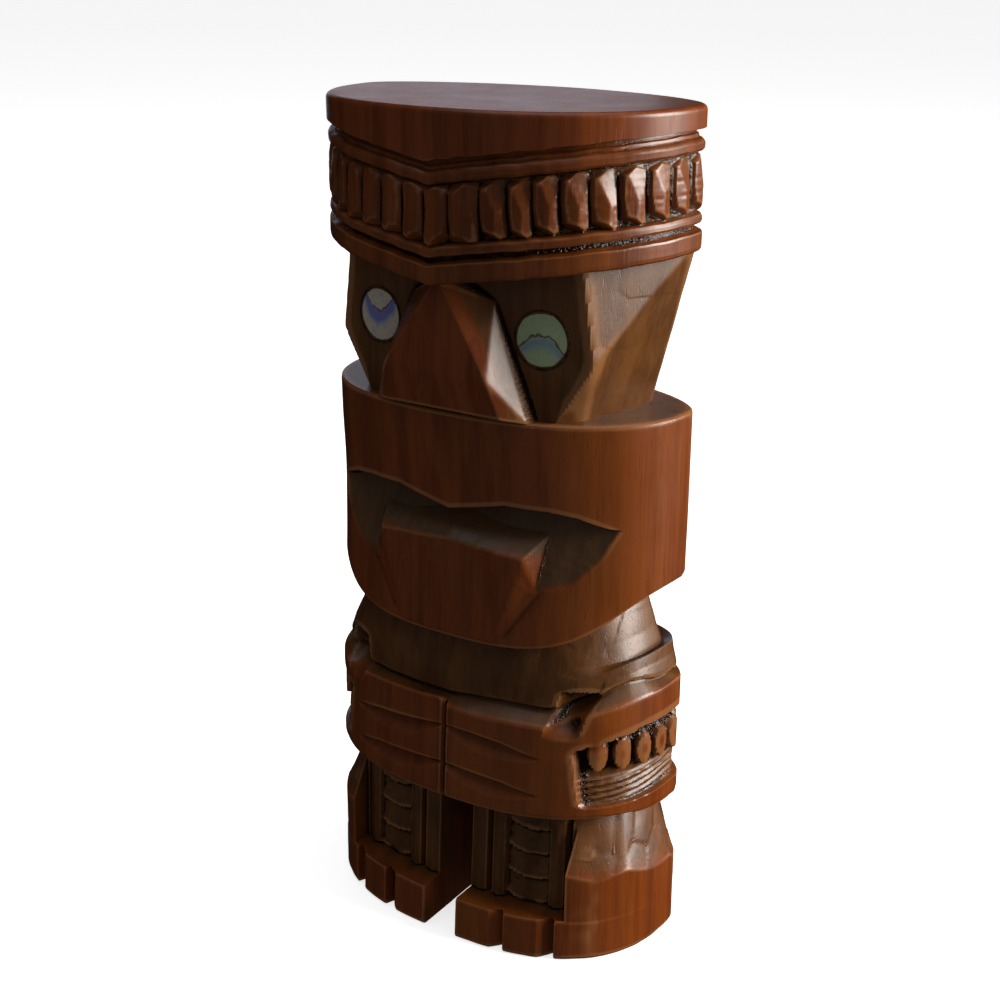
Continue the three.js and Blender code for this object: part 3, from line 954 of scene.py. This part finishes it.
@dataclass(frozen=True)
class Face(Carving):
    """Flat fields beside the nose, a light facet on each cheek, and the nose between them."""

    low: float = 117.0
    high: float = 153.6
    step: float = 0.21
    worn: float = 0.35

    def fields(self) -> Hull:
        """The head behind the nose, as a form of flat facets."""
        return Hull.mirrored([
            (0, -25.96, 154), (0, -25.96, 116), (0, 16, 154), (0, 11.5, 116),
        ], [
            (27.3, -22.1, 154), (30.3, -21.7, 132.2), (39.9, 1, 154), (36.5, 7.5, 154),
            (25.1, -17.2, 116), (29.6, 2, 116), (24.6, 7.5, 116), (20.2, -23.1, 116),
        ])

    def nose(self) -> Hull:
        """The nose: a front facet that narrows upward, a bridge and two sides."""
        return Hull.mirrored([
            (0, -30.4, 148), (0, -31.2, 141.3), (0, -14, 148),
        ], [
            (9.7, -24.8, 143), (12.3, -31.9, 129), (14.4, -30, 121.1), (18.4, -25.9, 119.9),
            (10, -14, 143), (17, -14, 119.9),
        ])

    def build(self) -> bpy.types.Object:
        """Rays meet the fields and the nose, whichever is further out."""
        rays = Rays.about_line(24, -4, 0.2, 92, 60)
        levels = np.arange(self.low, self.high, self.step)
        z = levels[:, None] + np.zeros((1, len(rays.way)))
        _, reach = self.fields().span(rays, z, self.worn)
        reach = soft_least(reach, self.oval.reach(rays, z, 0.9, 0.9, 0.9), 0.4)
        enter, leave = self.nose().span(rays, z, 0.3)
        nose = np.where(enter < leave, leave, -99.0)
        points = rays.at(reach, z)
        marks = knife_cuts(points[..., 0] / 5.2, z / 8.5, 31) * 0.16
        marks = marks + 0.03 * ripple(points[..., 0] / 1.3, z / 4, 32)
        reach = reach - marks
        reach = np.where(nose > -50, soft_most(reach, nose, 0.3), reach)
        points = rays.at(reach, z)
        on_nose = ramp(nose - reach + 0.5, 0.2, 0.5)
        tone = 0.95 - 0.95 * on_nose * ramp(-points[..., 1], 28.0, 30.0)
        return Skin("face", points, tone, (5, 5), 24.0).make()


@dataclass(frozen=True)
class Jaw(Carving):
    """The block of the jaw, with its wide sunk mouth and the tongue hanging over the chin."""

    ledge: float = 120.1
    chin: float = 71.0
    mouth_depth: float = 6.5
    corner: float = 34.5
    lip: Stops = both_sides(((0, 99.2), (5, 100.3), (13, 102), (22, 101.8), (28, 100.8),
                             (34.5, 98.4), (41, 97.5)))
    underlip: Stops = both_sides(((0, 83.8), (20, 84.1), (26.6, 85.7), (31.6, 91.5),
                                  (34.5, 98.2)))

    def chin_line(self) -> Stops:
        """The lower edge, rising to the sides as 13 (|x| / 40.7)^3.6."""
        across = np.linspace(-41, 41, 83)
        return tuple(zip(across, self.chin + 13 * (np.abs(across) / 40.7) ** 3.6))

    def tongue(self) -> Hull:
        """The tongue: a top that slopes back, a broad front, and a facet down each side."""
        return Hull.mirrored([
            (0, -27.9, 92.8), (0, -28.4, 71.9), (0, -20.5, 98.4), (0, -12, 98.4), (0, -12, 74),
        ], [
            (17.8, -26.6, 91.6), (15, -27.6, 82), (11, -28.2, 72.4), (22, -17.5, 98),
            (20, -24.6, 84), (12.8, -27.2, 72.8), (18, -12, 84), (11, -12, 74),
        ])

    def build(self) -> bpy.types.Object:
        """Rows follow the chin and the lip; the mouth's floor and the tongue are set in."""
        rays = Rays.about_line(24, -4, 0.22, 104, 50)
        chin = self.chin_line()
        rings = [
            Ring(lifted(chin, 0.0), 5.0, 5.0, 4.0, 2),
            Ring(lifted(chin, 0.0), 0.7, 0.7, 0.7, 2),
            Ring(lifted(chin, 0.35), 0.18, 0.18, 0.18, 2),
            Ring(lifted(chin, 0.9), 0.0, 0.0, 0.0, 112),
            Ring(lifted(self.lip, -0.06), 0.0, 0.0, 0.0, 1),
            Ring(lifted(self.lip, 0.06), 0.0, 0.0, 0.0, 2),
            Ring(lifted(self.lip, 0.5), 0.0, 0.0, 0.0, 46),
            Ring(level(self.ledge - 0.9), 0.0, 0.0, 0.0, 2),
            Ring(level(self.ledge - 0.3), 0.12, 0.12, 0.12, 2),
            Ring(level(self.ledge), 0.5, 0.5, 0.5, 3),
            Ring(level(self.ledge), 5.0, 5.0, 4.0, 0),
        ]
        z, reach, places = self.raised(rays, rings)
        points = rays.at(reach, z)
        x, y = points[..., 0], points[..., 1]
        lip, under = eased(x, self.lip, 0.3), eased(x, self.underlip, 0.6)
        in_mouth = (places[:, None] < 4.5) & (np.abs(x) < self.corner) & (y < 0)
        full = np.clip(1 - (np.abs(x) / self.corner) ** 3.2, 0, 1) ** 0.75
        share = np.clip((z - under) / np.maximum(lip - under, 0.3), 0, 1)
        floor = np.where(in_mouth, self.mouth_depth * full * share**0.95, 0.0)
        beside = np.abs(x) - np.interp(z, (72.8, 84, 98), (12.6, 19.9, 22))
        groove = 0.55 * np.exp(-((beside - 0.7) / 1.0) ** 2) * ramp(z, 71.5, 75)
        groove = groove * (1 - ramp(z, 83, 86)) * (y < 0)
        wave = 0.07 * ripple(x / 7, z / 11, 41) + 0.03 * ripple(x / 2.5, z / 8, 42)
        wave = wave + (floor > 0.2) * 0.06 * ripple(x / 1.5, z / 1.2, 43)
        body = reach - soft_most(floor, groove, 0.25) - wave
        enter, leave = self.tongue().span(rays, z, 0.5)
        tongue = np.where((enter < leave) & (places[:, None] < 4.5), leave, -99.0)
        body = np.where(tongue > -50, soft_most(body, tongue - wave, 0.35), body)
        points = rays.at(body, z)
        on_tongue = ramp(tongue - body, -0.5, -0.05)
        top_of_tongue = on_tongue * ramp(z, 91.8, 93.2)
        sunk = ramp(floor, 0.15, 0.7) * (1 - on_tongue)
        grey = np.clip(sunk + top_of_tongue, 0, 1)
        top = places[:, None] > 9.2
        tone = np.clip(0.9 * grey + 0.8 * top + 0.1, 0, 1)
        return Skin("jaw", points, tone, (4, 4), 30.0, grey).make()


@dataclass(frozen=True)
class Torso(Carving):
    """The torso between the arms, and the two arms with hands laid over the belly."""

    arms_low: float = 33.6
    rim: Stops = ((-41, 58.6), (-36, 59.2), (-32, 58.6), (-27, 57.4), (-9, 57.2), (0, 57.2),
                  (5, 57.8), (13, 58.5), (22, 58.5), (26, 59.2), (30, 60.6), (33, 61.9),
                  (35.6, 63.6), (38, 64.6), (39.5, 64.4), (41, 62.8))
    hand_top: Stops = ((-41, 56.2), (-34, 55.2), (-27, 55.1), (-20, 55.9), (-6, 56.2),
                       (-1.0, 56.6), (1.0, 55.0), (9, 54.7), (15, 54.9), (24, 55.2),
                       (29.5, 57.4), (32, 58.8), (36.5, 60.1), (39.3, 61), (41, 60.9))
    shoulder: Stops = ((-41, 62.5), (-30, 62.5), (0, 62), (20, 63), (30, 65.5), (41, 69))
    groove_high: Stops = ((-41, 46.2), (-26.8, 47.3), (-18, 48.9), (-9, 49.7), (0, 50.7),
                          (7, 50.6), (14.3, 50.0), (22.5, 48.0), (27, 46.6), (41, 45))
    groove_low: Stops = ((-41, 38.2), (-26.8, 39.3), (-18, 40.9), (-9, 41.4), (0, 41.8),
                         (7, 41.5), (14.5, 41.0), (22.7, 39.4), (27, 38.2), (41, 37.5))
    band: Stops = ((28.2, 0), (30.4, 0.6), (31.2, 1.0), (41, 1.0))

    def fingers(self, x: Array, z: Array, upper: Array) -> Array:
        """Depth of a leaf-shaped groove that hangs from a straight upper edge.

        The groove is deepest just under the edge, and its floor rises in a straight slope to a
        lower edge that bows down between the two tips.

        Args:
            x: Place across.
            z: Height.
            upper: Height of the upper edge there.

        Returns:
            The depths.
        """
        tip = np.where(x < 0, 26.6, 22.9)
        along = np.clip(np.abs(x) / tip, 0, 1)
        hand = x < 0
        leaf = np.where(hand, np.sin(np.pi * np.clip(along * 1.02, 0, 1) ** 1.0) ** 0.75,
                        np.sin(np.pi * along ** 0.85) ** 0.8)
        leaf = np.maximum(leaf, 0.10 * (along < 0.2))
        wide = 4.1 * leaf + 0.02
        below = upper - z
        slope = np.clip(1 - below / wide, 0, 1)
        depth = 2.9 * leaf * slope * ramp(below, -0.05, 0.12)
        return np.where((below > -0.1) & (along < 1), depth, 0.0)

    def forearm_band(self, x: Array, y: Array, z: Array) -> Array:
        """Depth of the sunk band on each forearm, with ovals left standing in it."""
        far = np.abs(x)
        bearing = np.degrees(np.arctan2(-y, far))
        high = np.interp(far, (28, 30, 35.9, 38.8, 41), (49.6, 50.6, 52.6, 53.6, 54.0))
        low = np.interp(far, (28, 30.6, 36, 40, 41), (40.5, 37.0, 37.2, 37.4, 37.4))
        start = np.interp(z, (36.5, 38, 42, 47, 51), (31.5, 30.2, 29.6, 29.2, 28.4))
        inside = ramp(high - z, -0.15, 0.25) * ramp(z - low, -0.1, 0.5) \
            * ramp(far - start, 0.0, 1.4)
        inside = np.where(y < 10, inside, 0.0)
        floor = 1.9 * inside
        lower = ramp(43.6 - z, -0.3, 0.6)
        slant = 0.45 * np.sin((z * 2.1 + bearing * 0.11) * 2.0) + 0.25 * ripple(x, z * 2, 53)
        floor = floor - inside * lower * (0.55 + slant * 0.5 - 0.25 * (43.6 - z) / 6)
        phase = (bearing - 32.4) / 8.1
        turn = np.clip(np.round(phase), -5, 0)
        across = (phase - turn) * 8.1 / 3.55
        up = (z - 48.4 - 0.04 * (bearing - 10)) / 4.1
        oval = np.clip(1 - across**2 - np.abs(up) ** 2.2, 0, 1)
        proud = 1.75 * ramp(oval, 0.0, 0.30) * (1 - 0.22 * np.abs(across)) * inside
        return floor - np.where(y < 10, proud, 0.0)

    def build(self) -> bpy.types.Object:
        """Rows follow the grooves, the hands' tops and the torso's rim."""
        rays = Rays.about_line(24, -4, 0.22, 128, 44)
        cut = self.hand_top
        rings = [
            Ring(both_sides(((0, 33.3), (15, 33.6), (27, 34.0), (34, 34.4), (38, 34.2), (41, 32.6))),
                 7.0, 7.0, 5.0, 2),
            Ring(both_sides(((0, 33.3), (15, 33.6), (27, 34.0), (34, 34.4), (38, 34.2), (41, 32.6))),
                 0.9, 0.9, 0.5, 2),
            Ring(both_sides(((0, 33.8), (15, 34.1), (27, 34.5), (34, 34.9), (38, 34.7), (41, 33.1))),
                 0.25, 0.25, 0.15, 2),
            Ring(both_sides(((0, 34.9), (15, 35), (27, 35.3), (34, 35.6), (41, 34.4))),
                 0.0, 0.0, 0.0, 22),
            Ring(lifted(self.groove_low, -0.05), 0.0, 0.0, 0.0, 1),
            Ring(lifted(self.groove_low, 0.12), 0.0, 0.0, 0.0, 36),
            Ring(lifted(self.groove_high, -0.05), 0.0, 0.0, 0.0, 1),
            Ring(lifted(self.groove_high, 0.12), 0.0, 0.0, 0.0, 22),
            Ring(lifted(cut, -0.35), 0.0, 0.0, 0.0, 2),
            Ring(lifted(cut, 0.1), 0.25, 0.15, 0.15, 8),
            Ring(lifted(self.rim, -0.9), 3.6, 2.2, 2.0, 3),
            Ring(lifted(self.rim, -0.25), 3.9, 2.4, 2.1, 2),
            Ring(lifted(self.rim, 0.1), 2.9, 1.2, 1.0, 2),
            Ring(lifted(self.rim, 0.7), 2.5, 1.1, 0.9, 14),
            Ring(self.shoulder, 2.5, 2.2, 1.9, 14),
            Ring(level(67.5), 2.9, 4.6, 3.6, 22),
            Ring(level(76.0), 4.6, 7.6, 5.6, 12),
            Ring(level(83.0), 7.0, 9.5, 7.5, 2),
            Ring(level(83.1), 11.0, 13.5, 11.5, 0),
        ]
        z, reach, places = self.raised(rays, rings)
        points = rays.at(reach, z)
        x, y = points[..., 0], points[..., 1]
        row = places[:, None]
        upper = np.interp(x, *np.array(self.groove_high).T)
        lower = np.interp(x, *np.array(self.groove_low).T)
        front = (y < -12)
        depth = self.fingers(x, z, upper) * (row < 6.5) + self.fingers(x, z, lower) * (row < 4.5)
        depth = depth * front
        hands = row < 11
        line = 1.3 * np.exp(-(x / 0.42) ** 2) * front * (row < 9.5)
        band = self.forearm_band(x, y, z) * (row < 8.6)
        gouge = self.gouge(x, z)
        gouge = np.where(front, gouge, 0.0)
        marks = knife_cuts(x / 6.5 + 3, z / 5.5, 51) * 0.5 * (row > 12.5)
        marks = marks * ramp(np.abs(x), 6, 26)
        marks = marks + 0.05 * ripple(x / 3, z / 3, 52)
        cuts = soft_most(depth + line + band, gouge * (row > 6.0), 0.1)
        body = reach - cuts - marks
        points = rays.at(body, z)
        tone = np.where(hands, 0.12, 1.0) + np.zeros_like(z)
        tone = np.where(row > 9.2, 0.95, tone)
        tone = np.maximum(tone, np.clip(band / 1.2, 0, 0.9))
        grey = ramp(row, 9.4, 10.2) * (1 - ramp(row, 11.5, 12.2)) * 0.6 + np.zeros_like(z)
        return Skin("torso_and_arms", points, tone, (4, 3), 27.0, grey).make()

    def gouge(self, x: Array, z: Array) -> Array:
        """Depth of the round gouge cut beside each elbow's hollow."""
        across = (np.abs(x) - 27.4 - 0.25 * (z - 57)) / 3.4
        up = (z - 53.0) / 7.0
        bowl = np.clip(1 - across**2, 0, 1) ** 0.5
        return 3.4 * bowl * ramp(up, -0.05, 0.55) * (z < 62.5)


@dataclass(frozen=True)
class Leg(Carving):
    """One leg: a shin cut back behind posts and a ladder, a bevelled knee, and a foot with toes."""

    side: Side = Side.RIGHT
    gap: float = 4.3
    foot_top: float = 9.8
    shin_edge: float = 28.4
    shin_in: float = 6.0
    posts: tuple[tuple[float, float], ...] = ((8.4, 9.6), (26.3, 27.5))
    ladder: tuple[float, float] = (12.7, 23.0)
    toes: tuple[float, float] = (15.2, 26.0)

    def rays(self) -> Rays:
        """Columns of the right leg: its inner wall, its front, its outer side and its back."""
        wall = np.concatenate([np.arange(13, -29, -0.55), [-29.6, -30.4, -31.1, -31.6]])
        front = np.arange(6.0, 29.2, 0.15)
        turn = np.radians(np.linspace(-74, 90, 74))
        back = np.arange(27, 6, -0.8)
        inner = np.stack([np.full_like(wall, 6.0), np.clip(wall, -20, 8)], 1)
        starts = np.concatenate([
            inner, [[6.0, -20.0]] * 5,
            np.stack([front, np.full_like(front, -8.0)], 1),
            np.tile([27.0, -4.0], (len(turn), 1)),
            np.stack([back, np.full_like(back, -4.0)], 1), [[6.0, 8.0]] * 3,
        ])
        targets = np.concatenate([
            np.stack([np.full_like(wall, self.gap), wall], 1),
            [[x, -32.0] for x in (4.35, 4.6, 4.9, 5.3, 5.7)],
            np.stack([front, np.full_like(front, -30.0)], 1),
            np.stack([27 + np.cos(turn), -4 + np.sin(turn)], 1),
            np.stack([back, np.full_like(back, 14.0)], 1),
            [[5.7, 16.5], [5.1, 16.5], [4.5, 16.5]],
        ])
        if self.side is Side.LEFT:
            mirror = np.array([-1.0, 1.0])
            starts, targets = (starts * mirror)[::-1], (targets * mirror)[::-1]
        return Rays.between(starts, targets)

    def shin(self, x: Array, z: Array) -> Array:
        """Depth of the shin behind the oval: posts, slots and a ladder of scooped rungs."""
        far = np.abs(x)
        depth = np.full(np.shape(x), self.shin_in)
        for low, high in self.posts:
            depth = depth + 1.7 * ramp(far, low - 0.15, low + 0.2) \
                * (1 - ramp(far, high - 0.2, high + 0.15))
        rounded = 0.55 * (np.cos(np.pi * np.clip((far - 11.1) / 1.5, -1, 1)) + 1) / 2
        rounded = rounded + 0.55 * (np.cos(np.pi * np.clip((far - 24.7) / 1.6, -1, 1)) + 1) / 2
        rounded = rounded + 0.35 * (np.cos(np.pi * np.clip((far - 6.4) / 2.1, -1, 1)) + 1) / 2
        depth = depth - rounded
        low, high = self.ladder
        inside = ramp(far, low - 0.1, low + 0.5) * (1 - ramp(far, high - 0.4, high + 0.1))
        across = np.clip((far - low) / (high - low), 0, 1)
        pitch = (33.6 - self.foot_top) / 4
        sag = 1.1 * (np.sin(np.pi * across) - 0.5) + 0.8 * across
        turn = (z + sag - self.foot_top - 1.0) / pitch
        part = turn - np.floor(turn)
        scale = 0.55 + 1.35 * np.clip(part, 0, 1) ** 0.8 * ramp(part, 0.0, 0.08)
        scale = scale + 0.25 * ripple(x / 1.5, z / 1.2, 61 + self.side.value)
        return depth + inside * scale

    def toe_cuts(self, x: Array) -> Array:
        """Depth of the grooves between toes: a broad inner wall and a steep outer one."""
        far = np.abs(x)
        depth = np.zeros(np.shape(x))
        for at in self.toes:
            inner = np.clip((far - at + 2.6) / 2.6, 0, 1) * (far <= at)
            outer = np.clip((at + 0.9 - far) / 0.9, 0, 1) * (far > at)
            depth = np.maximum(depth, 2.6 * (inner**1.2 + outer))
        return depth

    def build(self) -> bpy.types.Object:
        """Rows from the sole to inside the arms; the front is cut by height and place."""
        rays = self.rays()
        knee = both_sides(((0, 20), (28, 21.5), (34, 19.6), (38, 20.8), (41, 17.3)))
        rings = [
            Ring(level(0.0), 3.0, 3.0, 3.0, 1),
            Ring(level(0.0), 0.9, 0.9, 0.9, 1),
            Ring(level(0.25), 0.35, 0.35, 0.35, 1),
            Ring(level(0.9), 0.0, 0.0, 0.0, 28),
            Ring(level(self.foot_top - 0.6), 0.0, 0.0, 0.0, 3),
            Ring(level(self.foot_top - 0.05), 0.35, 0.0, 0.0, 3),
            Ring(level(self.foot_top + 0.1), 0.35, 0.0, 0.0, 30),
            Ring(lifted(knee, -0.3), 0.0, 0.0, 0.0, 2),
            Ring(lifted(knee, 0.3), 0.2, 0.2, 0.1, 34),
            Ring(level(34.2), 5.6, 5.6, 2.0, 2),
            Ring(level(37.0), 6.2, 6.2, 3.0, 0),
        ]
        z, reach, places = self.raised(rays, rings)
        row = places[:, None]
        points = rays.at(reach, z)
        x, y = points[..., 0], points[..., 1]
        far = np.abs(x)
        window = (1 - ramp(far, self.shin_edge - 0.1, self.shin_edge + 0.15)) \
            * (row > 5.5) * (y < -8)
        shin = self.oval.reach(rays, z, self.shin(x, z), 0.0, 0.0)
        foot = self.toe_cuts(x) * (y < -14) * (1 - ramp(row, 5.0, 5.6))
        marks = knife_cuts(np.abs(x) / 5 + y / 9, z / 12, 63) * 0.9
        marks = marks * ramp(row, 7.6, 8.4) * ramp(far, 27, 29)
        body = reach - foot - marks - 0.05 * ripple(x / 3 + y / 3, z / 3, 64)
        body = body * (1 - window) + np.minimum(shin, body) * window
        sign = self.side.value
        inward = -rays.way[:, 0] * sign
        room = (sign * rays.start[:, 0] - self.gap) / np.maximum(inward, 1e-6)
        wall = np.where(inward > 1e-3, room, 99.0) + np.zeros_like(z)
        wall = wall - 0.08 * ripple(y / 2.5, z / 2.5, 65)
        body = soft_least(body, wall, 0.5)
        points = rays.at(body, z)
        inside = (row > 5.2) * (window > 0.3)
        tone = np.where(inside, 1.0, 0.1) + np.zeros_like(z)
        tone = np.maximum(tone, ramp(row, 7.9, 8.2) * 0.85)
        name = "left_leg" if self.side is Side.LEFT else "right_leg"
        return Skin(name, points, tone, (4, 3), 27.0).make()


@dataclass(frozen=True)
class ShellEye:
    """A domed disc of shell in its socket, with a dark ring round it: partly real glue, partly
    painted shadow.
    """

    side: Side
    centre: tuple[float, float, float] = (19.65, -23.2, 136.4)
    radius: float = 5.65
    thickness: float = 1.4
    proud: float = 0.3
    turn: float = 8.0
    dome: float = 0.45
    columns: int = 96

    def outward(self) -> Array:
        """The way that the disc faces."""
        angle = math.radians(self.turn)
        return np.array([self.side.value * math.sin(angle), -math.cos(angle), 0.0])

    def placed(self, radius: Array, height: Array, angle: Array) -> Array:
        """Points by radius and height about the disc's axis: rows of a profile, turned."""
        facing = self.outward()
        across = np.array([-facing[1], facing[0], 0.0])
        middle = np.array([self.side.value * self.centre[0], *self.centre[1:]])
        ring = across * np.cos(angle)[..., None] + np.array([0, 0, 1.0]) * np.sin(angle)[..., None]
        return middle + ring[None] * radius[:, None, None] + facing * height[:, None, None]

    def disc(self) -> bpy.types.Object:
        """The disc: a flat back, a straight side, a small round edge and a low dome."""
        turn = np.linspace(0, math.pi / 2, 5)
        radius = np.concatenate([
            [0.4, 4.0], [self.radius] * 2, self.radius - 0.25 * (1 - np.cos(turn[1:])),
            np.linspace(self.radius - 0.5, 0.15, 18),
        ])
        back = self.proud - self.thickness
        face = self.proud - self.dome
        dome = face + self.dome * (1 - (np.linspace(self.radius - 0.5, 0.15, 18) / 5.4) ** 2)
        height = np.concatenate([
            [back, back], [back, face - 0.3], face - 0.3 + 0.27 * np.sin(turn[1:]), dome,
        ])
        angle = np.linspace(0, 2 * math.pi, self.columns, endpoint=False)
        points = self.placed(radius, height, angle)
        name = f"{self.side.name.lower()}_eye_disc"
        return Skin(name, points, np.zeros(points.shape[:2]), (2, 1), 40.0).make()

    def setting(self) -> bpy.types.Object:
        """The dark ring, partly glue and partly painted shadow: a flattened tube round the disc's
        edge.
        """
        turn = np.linspace(0, 2 * math.pi, 14, endpoint=False)
        angle = np.linspace(0, 2 * math.pi, self.columns, endpoint=False)
        wobble = 1 + 0.25 * ripple(np.cos(angle) * 2 + 5, np.sin(angle) * 2 + 5, 71)
        radius = self.radius + 0.12 + 0.26 * np.cos(turn)[:, None] * wobble[None]
        height = -0.26 + 0.34 * np.sin(turn)[:, None] + np.zeros_like(radius)
        facing = self.outward()
        across = np.array([-facing[1], facing[0], 0.0])
        middle = np.array([self.side.value * self.centre[0], *self.centre[1:]])
        ring = across * np.cos(angle)[:, None] + np.array([0, 0, 1.0]) * np.sin(angle)[:, None]
        spots = middle + ring[None] * radius[..., None] + facing * height[..., None]
        rows, columns = radius.shape
        spots[..., 1] += PLAN_SHIFT
        index = np.arange(rows * columns).reshape(rows, columns)
        right = np.roll(index, -1, axis=1)
        above, corner = np.roll(index, -1, axis=0), np.roll(right, -1, axis=0)
        quads = np.stack([index, right, corner, above], axis=2).reshape(-1, 4)
        name = f"{self.side.name.lower()}_eye_glue_and_shadow_ring"
        mesh = bpy.data.meshes.new(name)
        mesh.from_pydata((spots.reshape(-1, 3) * MM).tolist(), [], quads.tolist())
        mesh.shade_smooth()
        piece = bpy.data.objects.new(name, mesh)
        bpy.context.scene.collection.objects.link(piece)
        return piece

    def finish(self) -> PauaShell:
        """The shell's finish: mint green on the right, blue and violet on the left."""
        x, y, z = self.centre
        centre = (self.side.value * x * MM, (y + PLAN_SHIFT) * MM, z * MM)
        if self.side is Side.RIGHT:
            return PauaShell("right_shell", centre, (0.30, 0.36, 0.20), (0.19, 0.30, 0.24),
                             (0.17, 0.21, 0.30))
        return PauaShell("left_shell", centre, (0.42, 0.36, 0.28), (0.10, 0.15, 0.36),
                         (0.16, 0.11, 0.34), bend=-1.6)


# The studio


@dataclass(frozen=True)
class Studio:
    """A plain pale floor, soft lights, and the camera at the photograph's viewing angle."""

    camera_at: tuple[float, float, float] = (0.1770, -0.2664, 0.2102)
    right: tuple[float, float, float] = (0.8328, 0.5536, 0.0038)
    up: tuple[float, float, float] = (-0.1899, 0.2792, 0.9413)
    lens: float = 56.9
    aim: tuple[float, float, float] = (0.0, 0.0, 0.09)
    backdrop: float = 0.95
    ambience: float = 0.24
    mirrored: float = 0.004

    def camera(self) -> None:
        """Makes the camera from its place and its right and up."""
        right, up = Vector(self.right), Vector(self.up)
        back = right.cross(up).normalized()
        data = bpy.data.cameras.new("camera")
        data.lens, data.sensor_width = self.lens, 36.0
        camera = bpy.data.objects.new("camera", data)
        turn = Matrix((right, up, back)).transposed().to_4x4()
        camera.matrix_world = Matrix.Translation(self.camera_at) @ turn
        bpy.context.scene.collection.objects.link(camera)
        bpy.context.scene.camera = camera

    def light(self, name: str, at: tuple[float, float, float], size: tuple[float, float],
              power: float, colour: Colour) -> bpy.types.Object:
        """A soft rectangular light that looks at the figure."""
        data = bpy.data.lights.new(name, "AREA")
        data.shape = "RECTANGLE"
        data.size, data.size_y = size
        data.energy, data.color = power, colour
        lamp = bpy.data.objects.new(name, data)
        lamp.location = at
        lamp.rotation_mode = "QUATERNION"
        lamp.rotation_quaternion = (Vector(self.aim) - Vector(at)).to_track_quat("-Z", "Y")
        bpy.context.scene.collection.objects.link(lamp)
        return lamp

    def floor(self) -> None:
        """A wide flat floor of square tiles, level with the sole."""
        side = np.linspace(-6, 6, 25)
        x, y = np.meshgrid(side, side)
        spots = np.stack([x, y, np.zeros_like(x)], axis=2).reshape(-1, 3)
        index = np.arange(25 * 25).reshape(25, 25)
        quads = np.stack([
            index[:-1, :-1], index[:-1, 1:], index[1:, 1:], index[1:, :-1],
        ], axis=2).reshape(-1, 4)
        mesh = bpy.data.meshes.new("floor")
        mesh.from_pydata(spots.tolist(), [], quads.tolist())
        floor = bpy.data.objects.new("floor", mesh)
        floor.data.materials.append(PaleGround().material())
        floor.visible_glossy = False
        floor.visible_diffuse = False
        bpy.context.scene.collection.objects.link(floor)

    def surroundings(self) -> None:
        """A dim room: white to the camera, grey to matt surfaces and black in the varnish."""
        world = bpy.data.worlds.new("surroundings")
        world.use_nodes = True
        nodes, links = world.node_tree.nodes, world.node_tree.links
        dim = nodes["Background"]
        dim.inputs["Color"].default_value = (1, 1, 1, 1)
        white = nodes.new("ShaderNodeBackground")
        white.inputs["Strength"].default_value = self.backdrop
        ray = nodes.new("ShaderNodeLightPath")
        fade = nodes.new("ShaderNodeMapRange")
        fade.inputs["To Min"].default_value = self.ambience
        fade.inputs["To Max"].default_value = self.mirrored
        links.new(ray.outputs["Is Glossy Ray"], fade.inputs["Value"])
        links.new(fade.outputs["Result"], dim.inputs["Strength"])
        mix = nodes.new("ShaderNodeMixShader")
        links.new(ray.outputs["Is Camera Ray"], mix.inputs["Fac"])
        links.new(dim.outputs["Background"], mix.inputs[1])
        links.new(white.outputs["Background"], mix.inputs[2])
        links.new(mix.outputs["Shader"], nodes["World Output"].inputs["Surface"])
        bpy.context.scene.world = world

    def build(self) -> None:
        """Puts up the camera, the lights, the floor and the surroundings."""
        scene = bpy.context.scene
        scene.view_settings.view_transform = "Standard"
        self.camera()
        self.light("window", (0.86, 0.37, 0.40), (0.55, 0.60), 20.0, (1.0, 0.95, 0.88))
        self.light("sky", (0.0, 0.0, 1.6), (1.6, 1.6), 6.0, (1.0, 1.0, 1.0))
        self.light("back_window", (-0.75, 0.85, 0.25), (0.6, 0.5), 0.9, (0.80, 0.84, 1.0))
        self.surroundings()
        self.floor()


def main() -> None:
    """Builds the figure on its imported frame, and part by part."""
    logging.basicConfig(level=logging.INFO, format="%(name)s %(message)s")
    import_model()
    Studio().build()
    wood = CarvedWood().material()
    parts = [
        CrownSlab(), Headband(), Face(), Jaw(), Torso(), Leg(side=Side.RIGHT),
        Leg(side=Side.LEFT),
    ]
    for part in parts:
        dress(part.build(), wood, "carved_wood", "carved_figure")
    gum_and_shadow = DarkGumAndShadow().material()
    for side in Side:
        eye = ShellEye(side)
        name = side.name.lower()
        dress(eye.disc(), eye.finish().material(), f"{name}_shell", f"{name}_eye_shell")
        # The dark ring round each eye: partly glue, partly painted shadow.
        dress(eye.setting(), gum_and_shadow, "carved_wood")


if __name__ == "__main__":
    main()
